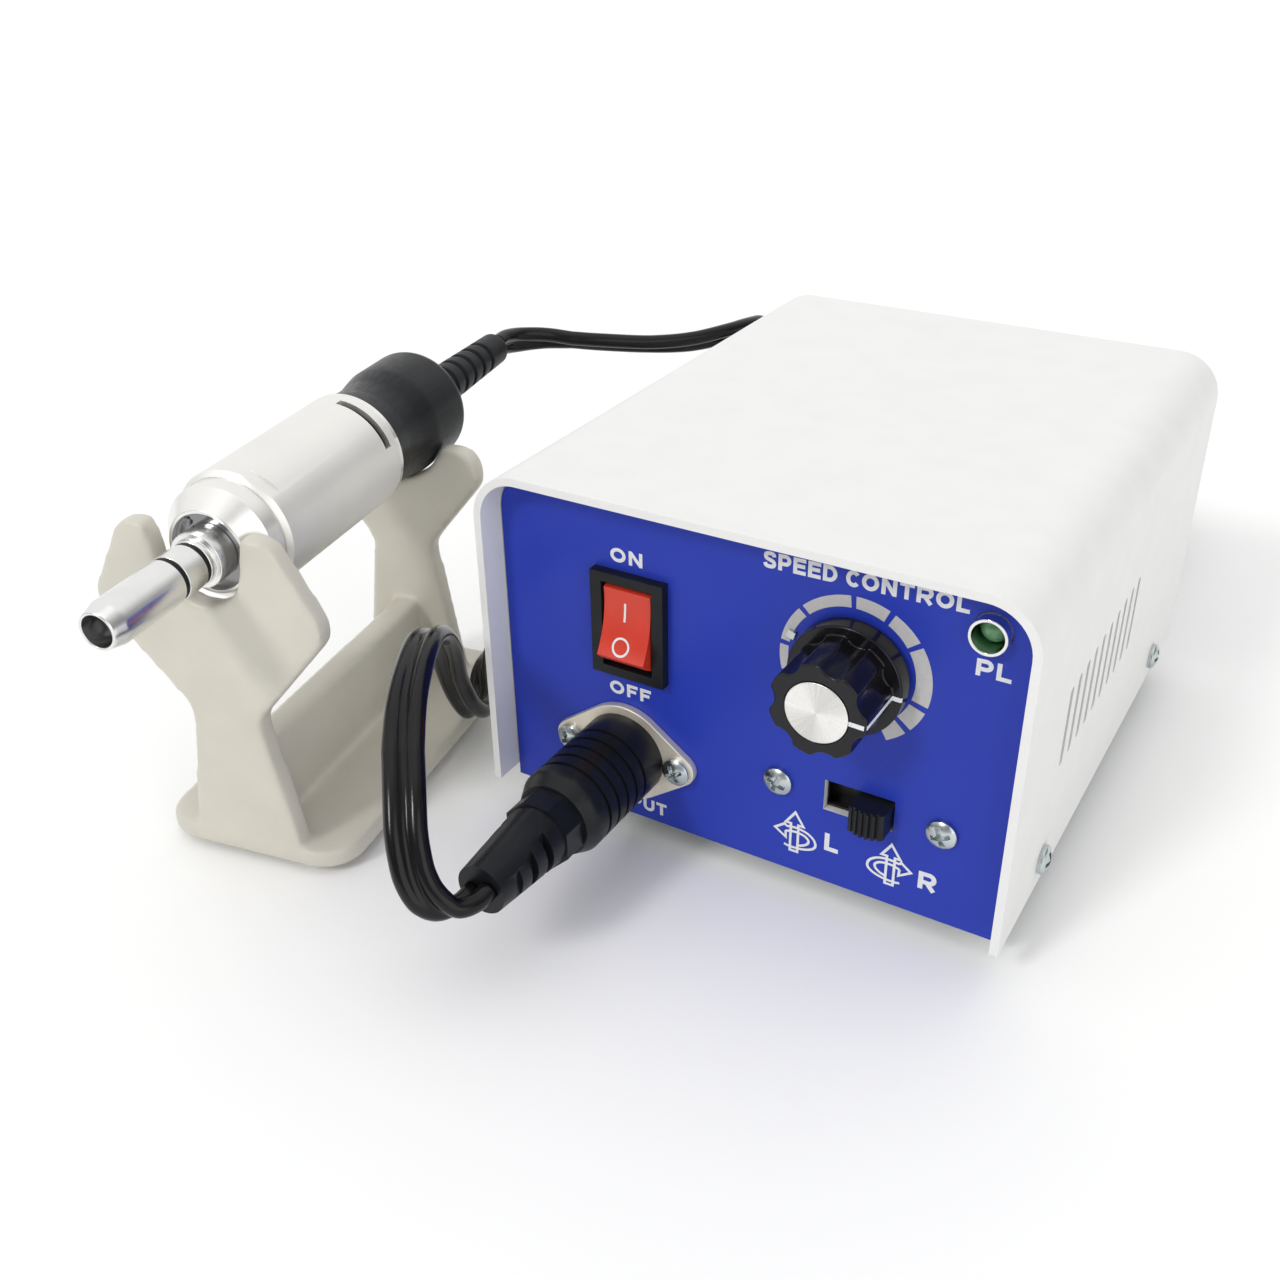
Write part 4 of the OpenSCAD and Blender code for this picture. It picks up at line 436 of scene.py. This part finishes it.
# Colour and roughness of each finish, then what differs from the usual
FINISHES = {
    "cover_white": ((0.80, 0.80, 0.79), 0.42, dict(tone=0.02, grain=0.7, depth=0.006)),
    "zinc": ((0.55, 0.60, 0.61), 0.24, dict(metal=1.0, tone=0.12, tone_size=3, worn=0.08)),
    "nickel": ((0.84, 0.78, 0.66), 0.42, dict(metal=0.6, tone=0.06, tone_size=5, worn=0.07)),
    "black_plastic": (
        (0.008, 0.009, 0.011), 0.34, dict(tone=0.2, grain=0.3, depth=0.005, Specular_IOR_Level=0.24)
    ),
    "knob_black": (
        (0.006, 0.006, 0.008), 0.2,
        dict(tone=0.2, worn=0.04, grain=0.3, depth=0.002, Specular_IOR_Level=0.34),
    ),
    "rocker_red": ((0.63, 0.040, 0.018), 0.34, dict(tone=0.05, grain=0.35, depth=0.003)),
    "lamp_green": ((0.06, 0.22, 0.08), 0.2, dict(tone=0.2, depth=0.002, Coat_Weight=1.0)),
    "brass": ((0.62, 0.45, 0.20), 0.3, dict(metal=1.0, tone=0.1)),
    "copper": ((0.62, 0.28, 0.14), 0.36, dict(metal=1.0, tone=0.12, tone_size=1.5)),
    "core_steel": ((0.32, 0.32, 0.33), 0.45, dict(metal=1.0, tone=0.15)),
    "board_green": ((0.03, 0.16, 0.07), 0.4, dict(tone=0.12, Coat_Weight=0.3)),
    "can_blue": ((0.03, 0.05, 0.22), 0.3, dict(tone=0.1)),
    "sink_aluminium": ((0.66, 0.66, 0.67), 0.4, dict(metal=1.0, tone=0.08)),
    "magnet_grey": ((0.09, 0.09, 0.095), 0.6, dict(tone=0.2, depth=0.01)),
    "carbon": ((0.02, 0.02, 0.02), 0.5, dict(tone=0.25, depth=0.01)),
    "rubber_black": (
        (0.009, 0.010, 0.012), 0.46, dict(tone=0.25, grain=0.35, depth=0.01, Specular_IOR_Level=0.22)
    ),
    "rest_cream": ((0.60, 0.575, 0.50), 0.36, dict(tone=0.04, tone_size=10, grain=0.8, depth=0.008)),
    "flex_black": (
        (0.005, 0.005, 0.006), 0.2, dict(tone=0.3, grain=0.8, depth=0.012, Specular_IOR_Level=0.28)
    ),
    "fuse_glass": ((0.92, 0.94, 0.95), 0.06, dict(tone=0.02, depth=0.001, Transmission_Weight=0.9)),
    "chrome": ((0.80, 0.80, 0.79), 0.13, dict(metal=1.0, tone=0.03, worn=0.04, depth=0.001)),
}
paints = {name: plain(name, colour, rough, **more) for name, (colour, rough, more) in FINISHES.items()}


def turned_paint():
    """Chrome of the spigot, with fine lines round its axis."""
    paint = Paint("turned_chrome", (0.80, 0.80, 0.79), 0.3, 1.0)
    paint.tone(5, 0.04)
    cuts = paint.line(paint.ahead(), 1 / (0.22 * MM))
    paint.wire(paint.span(cuts, 0.22, 0.27), "Roughness")
    paint.bump(cuts, 0.0003)
    return paint


SATIN = (0.86, 0.85, 0.82)
# Length of the polished rim at the rear end of the sleeve
RIM = 0.95
# The nose's recessed face: its radius, and how far ahead of the sleeve's rear end it starts
FACE_RADIUS = 7.28
FACE_AHEAD = 46.2


def satin_paint():
    """Satin sleeve, with turned lines round its axis and a polished rim."""
    paint = Paint("satin_silver", SATIN, 0.3, 1.0)
    paint.tone(14, 0.03)
    lines = paint.line(paint.ahead(), 1 / (0.16 * MM))
    rough = paint.span(lines, 0.44, 0.5)
    rim = paint.math("LESS_THAN", paint.ahead(), RIM * MM)
    paint.wire(paint.math("MULTIPLY", rough, paint.span(rim, 1.0, 0.3, 0, 1)), "Roughness")
    paint.bump(lines, 0.0004)
    paint.bump(paint.noise(0.2), 0.002)
    return paint


def nose_paint():
    """Nose cap: the sleeve's metal, with its recessed face polished, and a painted dark reflection and shade
    put into its base colour there.
    """
    paint = Paint("nose_silver", SATIN, 0.3, 1.0)
    silver = paint.tone(14, 0.03)
    ahead = paint.ahead()
    reach = paint.vector("LENGTH", paint.vector("SUBTRACT", paint.place, tuple(HAND)), (0, 0, 0))
    off = paint.math("SUBTRACT", paint.math("MULTIPLY", reach, reach), paint.math("MULTIPLY", ahead, ahead))
    inner = paint.math("LESS_THAN", off, (FACE_RADIUS * MM) ** 2)
    recess_polish_and_painted_shade = paint.math("MULTIPLY", inner, paint.math("GREATER_THAN", ahead, FACE_AHEAD * MM))
    # The recessed face's darker base colour is a painted dark reflection and shade; its lower roughness is
    # real polish.
    paint.wire(paint.mix(recess_polish_and_painted_shade, silver, (0.25, 0.25, 0.255)), "Base Color")
    paint.wire(paint.span(recess_polish_and_painted_shade, 0.3, 0.15, 0, 1), "Roughness")
    paint.bump(paint.noise(0.2), 0.0015)
    return paint


def spun_paint():
    """Knob cap, brushed round the knob's axis for anisotropic reflection, with painted highlights in sectors
    and radial lines mixed into its base colour.
    """
    paint = Paint("spun_metal", (0.82, 0.82, 0.81), 0.3, 1.0, Anisotropic=0.85)
    flat = paint.vector("MULTIPLY", paint.vector("SUBTRACT", paint.place, tuple(KNOB)), (1, 0, 1))
    parts = paint.split(flat)
    angle = paint.math("ARCTAN2", parts[2], parts[0])
    # Painted highlight: base colour made lighter in two opposite sectors round the axis and along radial
    # lines, turning with the knob.
    painted_wedge = paint.math("SINE", paint.math("ADD", paint.math("MULTIPLY", angle, 2.0), 2.6))
    painted_streak = paint.math("SUBTRACT", paint.line(angle, 9.0), 0.5)
    painted_shine = paint.math("ADD", painted_wedge, paint.math("MULTIPLY", painted_streak, 1.6))
    painted_sector_highlight = paint.mix(paint.span(painted_shine, 0, 1, -1.2, 1.2), (0.68, 0.67, 0.64), (0.95, 0.94, 0.91))
    paint.wire(painted_sector_highlight, "Base Color")
    rings = paint.line(paint.vector("LENGTH", flat, (0, 0, 0)), 9000.0)
    paint.wire(paint.span(rings, 0.22, 0.36), "Roughness")
    paint.bump(rings, 0.003)
    tangent = paint.add("ShaderNodeTangent", direction_type="RADIAL", axis="Y")
    paint.wire(tangent.outputs[0], "Tangent")
    return paint


def panel_paint():
    """Enamelled panel: blue faces, bare metal on the cut edges."""
    paint = Paint("panel_blue", (0.022, 0.046, 0.42), 0.34, Specular_IOR_Level=0.22)
    blue = paint.tone(16, 0.03)
    facing = paint.split(paint.add("ShaderNodeTexCoord").outputs["Normal"])
    cut = paint.math("LESS_THAN", paint.math("ABSOLUTE", facing[1]), 0.6)
    paint.wire(paint.mix(cut, blue, (0.86, 0.86, 0.85)), "Base Color")
    paint.worn(3, 0.05)
    paint.bump(paint.noise(0.5), 0.005)
    return paint


def switch_paint():
    """Slide switch: plated frame behind the panel, dark moulding within."""
    paint = Paint("slide_switch", (0.86, 0.86, 0.84), 0.4)
    plated = paint.tone(3, 0.1)
    inside = paint.math("GREATER_THAN", paint.split(paint.place)[1], on_panel(0, 0, -1.6).y)
    paint.wire(paint.mix(inside, plated, (0.014, 0.014, 0.015)), "Base Color")
    paint.wire(paint.math("SUBTRACT", 1.0, inside), "Metallic")
    paint.worn(2, 0.08)
    paint.bump(paint.noise(0.4), 0.005)
    return paint


def woven_paint():
    """Woven strap of the tie."""
    paint = plain("woven_strap", (0.02, 0.02, 0.022), 0.8, tone=0.3, tone_size=1.2)
    weave = paint.add("ShaderNodeTexWave", wave_type="BANDS", bands_direction="DIAGONAL")
    weave.inputs["Scale"].default_value = 420.0
    paint.link(paint.place, weave.inputs["Vector"])
    paint.bump(weave.outputs["Fac"], 0.12)
    return paint


def print_paint(name, colour, tone):
    """Ink on the panel and the marks."""
    return plain(name, colour, 0.45, tone=tone, tone_size=0.8, grain=0.15, depth=0.004)


paints["satin_silver"] = satin_paint()
paints["spun_metal"] = spun_paint()
paints["panel_blue"] = panel_paint()
white_print = print_paint("white_print", (0.76, 0.77, 0.79), 0.06)
grey_print = print_paint("grey_print", (0.53, 0.52, 0.52), 0.05)


def wear(piece, paint):
    """Gives a piece its material, and its slot where the scene made it."""
    piece.data.materials.clear()
    piece.data.materials.append(paint.material)


slots = {part["node"]: part["material_slot"] for part in frame["record"]["subparts"]}
for name, piece in nodes.items():
    wear(piece, paints[slots[name]])
wear(nodes["slide_switch"], switch_paint())
wear(nodes["nose_cap"], nose_paint())
wear(nodes["coupling_spigot"], turned_paint())
wear(nodes["lamp_sleeve"], paints["chrome"])
wear(nodes["nose_screw"], paints["core_steel"])

# Rounded edges on the pieces that show

ROUND = {
    "top_cover": 0.35, "front_panel": 0.15, "rocker_housing": 0.45, "power_rocker": 0.45, "speed_knob": 0.55,
    "knob_cap": 0.2, "direction_slider": 0.25, "socket_flange": 0.45, "panel_screws": 0.12, "plug_body": 0.4,
    "lamp_sleeve": 0.12, "motor_sleeve": 0.15, "nose_cap": 0.15, "coupling_spigot": 0.2, "nose_screw": 0.1,
    "tail_cap": 0.3, "cord_boot": 0.3, "cover_screws": 0.15, "socket_insert": 0.2,
    "mains_inlet": 0.4, "fuse_cap": 0.3, "jack_nut": 0.15, "rubber_feet": 0.4, "base_tray": 0.2,
}
# Flat faces of these stay in triangles, because their merged outlines round badly
KEEP_TRIANGLES = ("direction_slider", "base_tray", "mains_inlet", "rocker_housing")
WELD_GAP = 2e-6
FLAT_ANGLE = math.radians(0.3)
EDGE_ANGLE = math.radians(33)
for name, width in ROUND.items():
    piece = nodes[name]
    weld = piece.modifiers.new("weld", "WELD")
    weld.merge_threshold = WELD_GAP
    if name not in KEEP_TRIANGLES:
        merge = piece.modifiers.new("merge", "DECIMATE")
        merge.decimate_type = "DISSOLVE"
        merge.angle_limit = FLAT_ANGLE
    bevel = piece.modifiers.new("round", "BEVEL")
    bevel.width = width * MM
    bevel.segments = 3
    bevel.limit_method = "ANGLE"
    bevel.angle_limit = EDGE_ANGLE
    bevel.use_clamp_overlap = True
    bevel.miter_outer = "MITER_ARC"
    even = piece.modifiers.new("even", "WEIGHTED_NORMAL")
    even.weight = 90
    even.keep_sharp = False

# The rest is a thick moulding with soft edges all over
rest = nodes["handpiece_rest"]
moulded = rest.modifiers.new("moulded", "REMESH")
moulded.mode = "VOXEL"
moulded.voxel_size = 0.55 * MM
moulded.use_smooth_shade = True
soft = rest.modifiers.new("soft", "SMOOTH")
soft.factor = 0.5
soft.iterations = 28


# Print on the panel

INK_OUT = 0.03
INK_STEP = 0.0006


class Print:
    """Flat ink a little in front of the panel, each stroke a hair higher than the last."""

    def __init__(self):
        self.verts, self.faces, self.out = [], [], INK_OUT

    def add(self, points, quads):
        start = len(self.verts)
        self.verts += [on_panel(x, z, self.out) for x, z in points]
        self.faces += [tuple(start + k for k in quad) for quad in quads]
        self.out += INK_STEP

    def stroke(self, points, width, closed=False):
        """A line of even width through panel points."""
        points = [Vector(p) for p in points]
        count = len(points)
        edge = []
        for i, p in enumerate(points):
            before = points[i - 1] if closed or i else p
            after = points[(i + 1) % count] if closed or i < count - 1 else p
            a = (p - before).normalized() if p != before else (after - p).normalized()
            b = (after - p).normalized() if p != after else a
            across = Vector((-a.y, a.x))
            normal = Vector((-(a + b).y, (a + b).x))
            normal = normal.normalized() if normal.length > 0.2 else across
            reach = width / 2 / max(normal.dot(across), 0.5)
            edge += [p + normal * reach, p - normal * reach]
        quads = []
        for i in range(count if closed else count - 1):
            n = (i + 1) % count
            quads.append((2 * i, 2 * i + 1, 2 * n + 1, 2 * n))
        self.add(edge, quads)

    def done(self, name):
        piece = make(name, self.verts, self.faces, smooth=False)
        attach(piece, "case")
        return piece


def curve(points, steps=5):
    """A smooth line through panel points."""
    return [(p.x, p.y) for p in spline([(x, z, 0) for x, z in points], steps)]


def arc(cx, cy, rx, ry, start, stop, steps=20):
    """Points of an ellipse between two angles in degrees."""
    turns = [math.radians(start + (stop - start) * k / steps) for k in range(steps + 1)]
    return [(cx + rx * math.cos(a), cy + ry * math.sin(a)) for a in turns]


WIDTHS = {
    "O": 0.95, "N": 0.84, "F": 0.7, "S": 0.8, "P": 0.8, "E": 0.78,
    "D": 0.86, "C": 0.74, "T": 0.78, "R": 0.88, "L": 0.7, "U": 0.84,
}
# Half the width of a stroke, and the space between letters, in heights of a letter
INK = 0.122
SPACE = 0.13


def glyph(letter):
    """A bold capital one unit high, as (points, closed) strokes along its middle."""
    w, h = WIDTHS[letter], INK
    stem = [(h, 0), (h, 1)]
    bow = [(h, 1 - h)] + arc(w - h - 0.23, 0.66, 0.23, 0.235, 90, -90) + [(h, 0.425)]
    snake = [
        (w - h - 0.01, 0.71), (w - 0.18, 0.86), (w / 2, 0.9), (0.19, 0.85), (h + 0.02, 0.72),
        (0.21, 0.58), (w / 2, 0.51), (w - 0.18, 0.42), (w - h, 0.28), (w - 0.19, 0.14),
        (w / 2, 0.1), (0.18, 0.14), (h - 0.01, 0.3),
    ]
    return {
        "O": [(arc(w / 2, 0.5, w / 2 - h, 0.5 - h, 0, 345, 23), True)],
        "C": [(arc(w / 2 + 0.04, 0.5, w / 2 + 0.04 - h, 0.5 - h, 40, 320, 24), False)],
        "D": [([(h, h), (h, 1 - h)] + arc(w - h - 0.38, 0.5, 0.38, 0.5 - h, 90, -90), True)],
        "E": [([(w, 1 - h), (h, 1 - h), (h, h), (w, h)], False), ([(h, 0.52), (w - 0.05, 0.52)], False)],
        "F": [([(w, 1 - h), (h, 1 - h), (h, 0)], False), ([(h, 0.49), (w - 0.1, 0.49)], False)],
        "L": [([(h, 1), (h, h), (w, h)], False)],
        "T": [([(0, 1 - h), (w, 1 - h)], False), ([(w / 2, 1 - h), (w / 2, 0)], False)],
        "N": [(stem, False), ([(w - h, 0), (w - h, 1)], False), ([(h, 0.94), (w - h, 0.06)], False)],
        "P": [(stem, False), (bow, False)],
        "R": [(stem, False), (bow, False), ([(0.42, 0.43), (w - 0.1, 0)], False)],
        "U": [([(h, 1)] + arc(w / 2, 0.4, w / 2 - h, 0.4 - h, 180, 360) + [(w - h, 1)], False)],
        "S": [(curve(snake), False)],
    }[letter]


def words(ink, text, x0, x1, z0, z1, slope=0.0):
    """Capitals filling a box on the panel, rising by slope along it."""
    total = sum(WIDTHS[c] for c in text) + SPACE * (len(text) - 1)
    wide, high = (x1 - x0) / total, z1 - z0
    pen = 0.0
    for letter in text:
        for points, closed in glyph(letter):
            placed = []
            for x, z in points:
                run = (pen + x) * wide
                placed.append((x0 + run, z0 + z * high + run * slope))
            ink.stroke(placed, 2 * INK * min(wide, high), closed)
        pen += WIDTHS[letter] + SPACE


lettering = Print()
words(lettering, "ON", 25.2, 32.0, 52.5, 55.3)
words(lettering, "OFF", 24.3, 33.3, 24.6, 27.4)
words(lettering, "SPEED", 55.3, 68.5, 58.9, 61.9, 0.02)
words(lettering, "CONTROL", 70.0, 90.6, 59.2, 62.2, 0.02)
words(lettering, "PL", 92.6, 98.4, 49.3, 52.4)
words(lettering, "L", 69.3, 72.0, 4.9, 8.8)
words(lettering, "R", 87.2, 90.5, 3.7, 7.5)
words(lettering, "OUTPUT", 19.7, 36.5, -0.4, 2.4)

# Direction symbols: an upright arrow with another curling round it, and its mirror image
ARROW = [(63.4, 11), (65.1, 8.3), (64.1, 8.3), (64.1, 2.2), (62.6, 2.2), (62.6, 8.3), (61.6, 8.3)]
CURL_OUT = [
    (61.4, 3.2), (62.5, 3), (64.4, 3.1), (66, 3.5), (67.1, 4.1), (67.6, 4.9), (67.4, 5.9), (66.7, 6.7),
    (65.6, 7.3), (64.1, 7.6), (62.8, 7.55), (61.7, 7.35),
]
CURL_IN = [(61.6, 6.2), (63, 6.6), (64.4, 6.6), (65.5, 6.3), (66.2, 5.6), (66, 4.8), (65.1, 4.1), (63.9, 3.7)]
HEAD = [(61.7, 7.35), (61.4, 7.8), (59.5, 6.3), (61.7, 4.8), (61.6, 6.2)]
STROKES = [(ARROW, True), (curve(CURL_OUT), False), (curve(CURL_IN), False), (HEAD, False)]
SYMBOL_INK = 0.5
# The two symbols' places along the panel add up to this
MIRROR = 145.3
for route, closed in STROKES:
    lettering.stroke(route, SYMBOL_INK, closed)
    lettering.stroke([(MIRROR - x, z) for x, z in route], SYMBOL_INK, closed)
panel_print = lettering.done("panel_print")
wear(panel_print, white_print)

# Speed scale: segments between angles clockwise from the top, on a band that widens that way
SEGMENTS = ((-106, -85), (-81, -50), (-46, -6), (-2, 23.5), (28, 53), (57, 105), (110, 129), (134, 151))
BAND_OUTER = 13.6
BAND_INNER = 12.0
BAND_GROWTH = 1.7
GROWTH_START = 85
GROWTH_SPAN = 235
segments = Print()
for first, last in SEGMENTS:
    count = max(int((last - first) / 2), 4)
    band = []
    for k in range(count + 1):
        degrees = first + (last - first) * k / count
        inner = BAND_INNER - BAND_GROWTH * min(max((degrees + GROWTH_START) / GROWTH_SPAN, 0), 1)
        s, c = math.sin(math.radians(degrees)), math.cos(math.radians(degrees))
        band += [(KNOB_X + radius * s, KNOB_Z + radius * c) for radius in (BAND_OUTER, inner)]
    segments.add(band, [(2 * k, 2 * k + 1, 2 * k + 3, 2 * k + 2) for k in range(count)])
speed_scale = segments.done("speed_scale")
wear(speed_scale, grey_print)

# Marks on the rocker: a bar on the upper half, a ring on the lower

SWING = math.radians(26)
TILT = -SWING / 2
ROCKER_HALF = 8.3
DISH = ROCKER_HALF / math.sin(SWING)
DISH_FLOOR = 4.105
PIVOT_DEPTH = 2
BAR_START = 0.5
BAR_LENGTH = 3.6
BAR_HALF = 0.22
BAR_STEPS = 8
RING_DOWN = 4.2
RING_RADII = (1.38, 1.8)
RING_STEPS = 40


def on_rocker(x, y, out=0.06):
    """A point on the rocker's dished face, x across and y up it, as it stands at rest."""
    z = DISH_FLOOR + DISH - math.sqrt(DISH * DISH - y * y) + out
    high = y * math.cos(TILT) - z * math.sin(TILT)
    deep = y * math.sin(TILT) + z * math.cos(TILT)
    return on_panel(ROCKER_X + x, ROCKER_Z + high, deep - PIVOT_DEPTH)


verts, faces = [], []
for k in range(BAR_STEPS + 1):
    y = BAR_START + BAR_LENGTH * k / BAR_STEPS
    verts += [on_rocker(-BAR_HALF, y), on_rocker(BAR_HALF, y)]
    if k:
        faces.append((2 * k - 2, 2 * k - 1, 2 * k + 1, 2 * k))
first = len(verts)
for k in range(RING_STEPS):
    a = 2 * math.pi * k / RING_STEPS
    for radius in RING_RADII:
        verts.append(on_rocker(radius * math.cos(a), radius * math.sin(a) - RING_DOWN))
    corners = (2 * k, 2 * k + 1, 2 * k + 3, 2 * k + 2)
    faces.append(tuple(first + n % (2 * RING_STEPS) for n in corners))
rocker_marks = make("rocker_marks", verts, faces, smooth=False)
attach(rocker_marks, "power_rocker")
wear(rocker_marks, white_print)

# Pointer line over the knob's front, down its side and across the skirt

POINT = math.radians(92)
POINTER_HALF = 0.42
# Distance from the knob's axis, and from the panel
POINTER = (
    (5.55, 15.05), (8.1, 15.05), (8.56, 14.6), (8.6, 4.7), (8.65, 4.66), (10.05, 4.66), (10.25, 4.4),
)
side = Vector((math.cos(POINT), -math.sin(POINT))) * POINTER_HALF
verts, faces = [], []
for k, (radius, out) in enumerate(POINTER):
    reach = Vector((math.sin(POINT), math.cos(POINT))) * radius
    verts += [on_panel(*(Vector((KNOB_X, KNOB_Z)) + reach + side * s), out) for s in (-1, 1)]
    if k:
        faces.append((2 * k - 2, 2 * k - 1, 2 * k + 1, 2 * k))
knob_pointer = make("knob_pointer", verts, faces, smooth=False)
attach(knob_pointer, "speed_knob")
wear(knob_pointer, white_print)

wear(flex_front, paints["flex_black"])
wear(flex_tail, paints["flex_black"])
wear(flex_tie, woven_paint())

# Floor, world and lamps

floor = make("floor", [(-4, -4, 0), (4, -4, 0), (4, 4, 0), (-4, 4, 0)], [(0, 1, 2, 3)], smooth=False)
ground = plain("floor_white", (0.96, 0.96, 0.955), 0.6, tone=0.006, tone_size=300, grain=4, depth=0.01)
wear(floor, ground)

# A bright ceiling over dimmer walls, so that metal and black plastic show their form
SKY_TOP = Vector((-0.45, 0.35, 0.82)).normalized()
SKY_LEVELS = ((0.0, 0.4), (0.35, 0.3), (0.5, 0.24), (0.62, 0.42), (0.82, 0.97), (1.0, 1.0))
world = bpy.data.worlds.new("studio")
world.use_nodes = True
scene.world = world
sky = world.node_tree
coords = sky.nodes.new("ShaderNodeTexCoord")
upward = sky.nodes.new("ShaderNodeVectorMath")
upward.operation = "DOT_PRODUCT"
upward.inputs[1].default_value = SKY_TOP
grade = sky.nodes.new("ShaderNodeMapRange")
grade.inputs["From Min"].default_value = -1.0
shade = sky.nodes.new("ShaderNodeValToRGB")
ramp = shade.color_ramp
ramp.elements[0].position, ramp.elements[1].position = 0.0, 1.0
for stop, level in SKY_LEVELS:
    near = [e for e in ramp.elements if e.position == stop]
    mark = near[0] if near else ramp.elements.new(stop)
    mark.color = (level, level, level, 1)
sky.links.new(coords.outputs["Generated"], upward.inputs[0])
sky.links.new(upward.outputs["Value"], grade.inputs["Value"])
sky.links.new(grade.outputs[0], shade.inputs[0])
sky.links.new(shade.outputs[0], sky.nodes["Background"].inputs["Color"])
sky.nodes["Background"].inputs["Strength"].default_value = 1.02


def sun(name, way, strength, angle):
    """A sun shining from that direction, as soft as its angle in degrees."""
    data = bpy.data.lights.new(name, "SUN")
    data.energy = strength
    data.angle = math.radians(angle)
    lamp = bpy.data.objects.new(name, data)
    scene.collection.objects.link(lamp)
    lamp.rotation_mode = "QUATERNION"
    lamp.rotation_quaternion = Vector(way).to_track_quat("Z", "Y")


sun("key", (-0.25, -0.75, 0.62), 0.9, 12)
sun("top", (0.1, -0.1, 1.0), 0.15, 50)
sun("fill", (0.85, -0.45, 0.3), 1.05, 60)
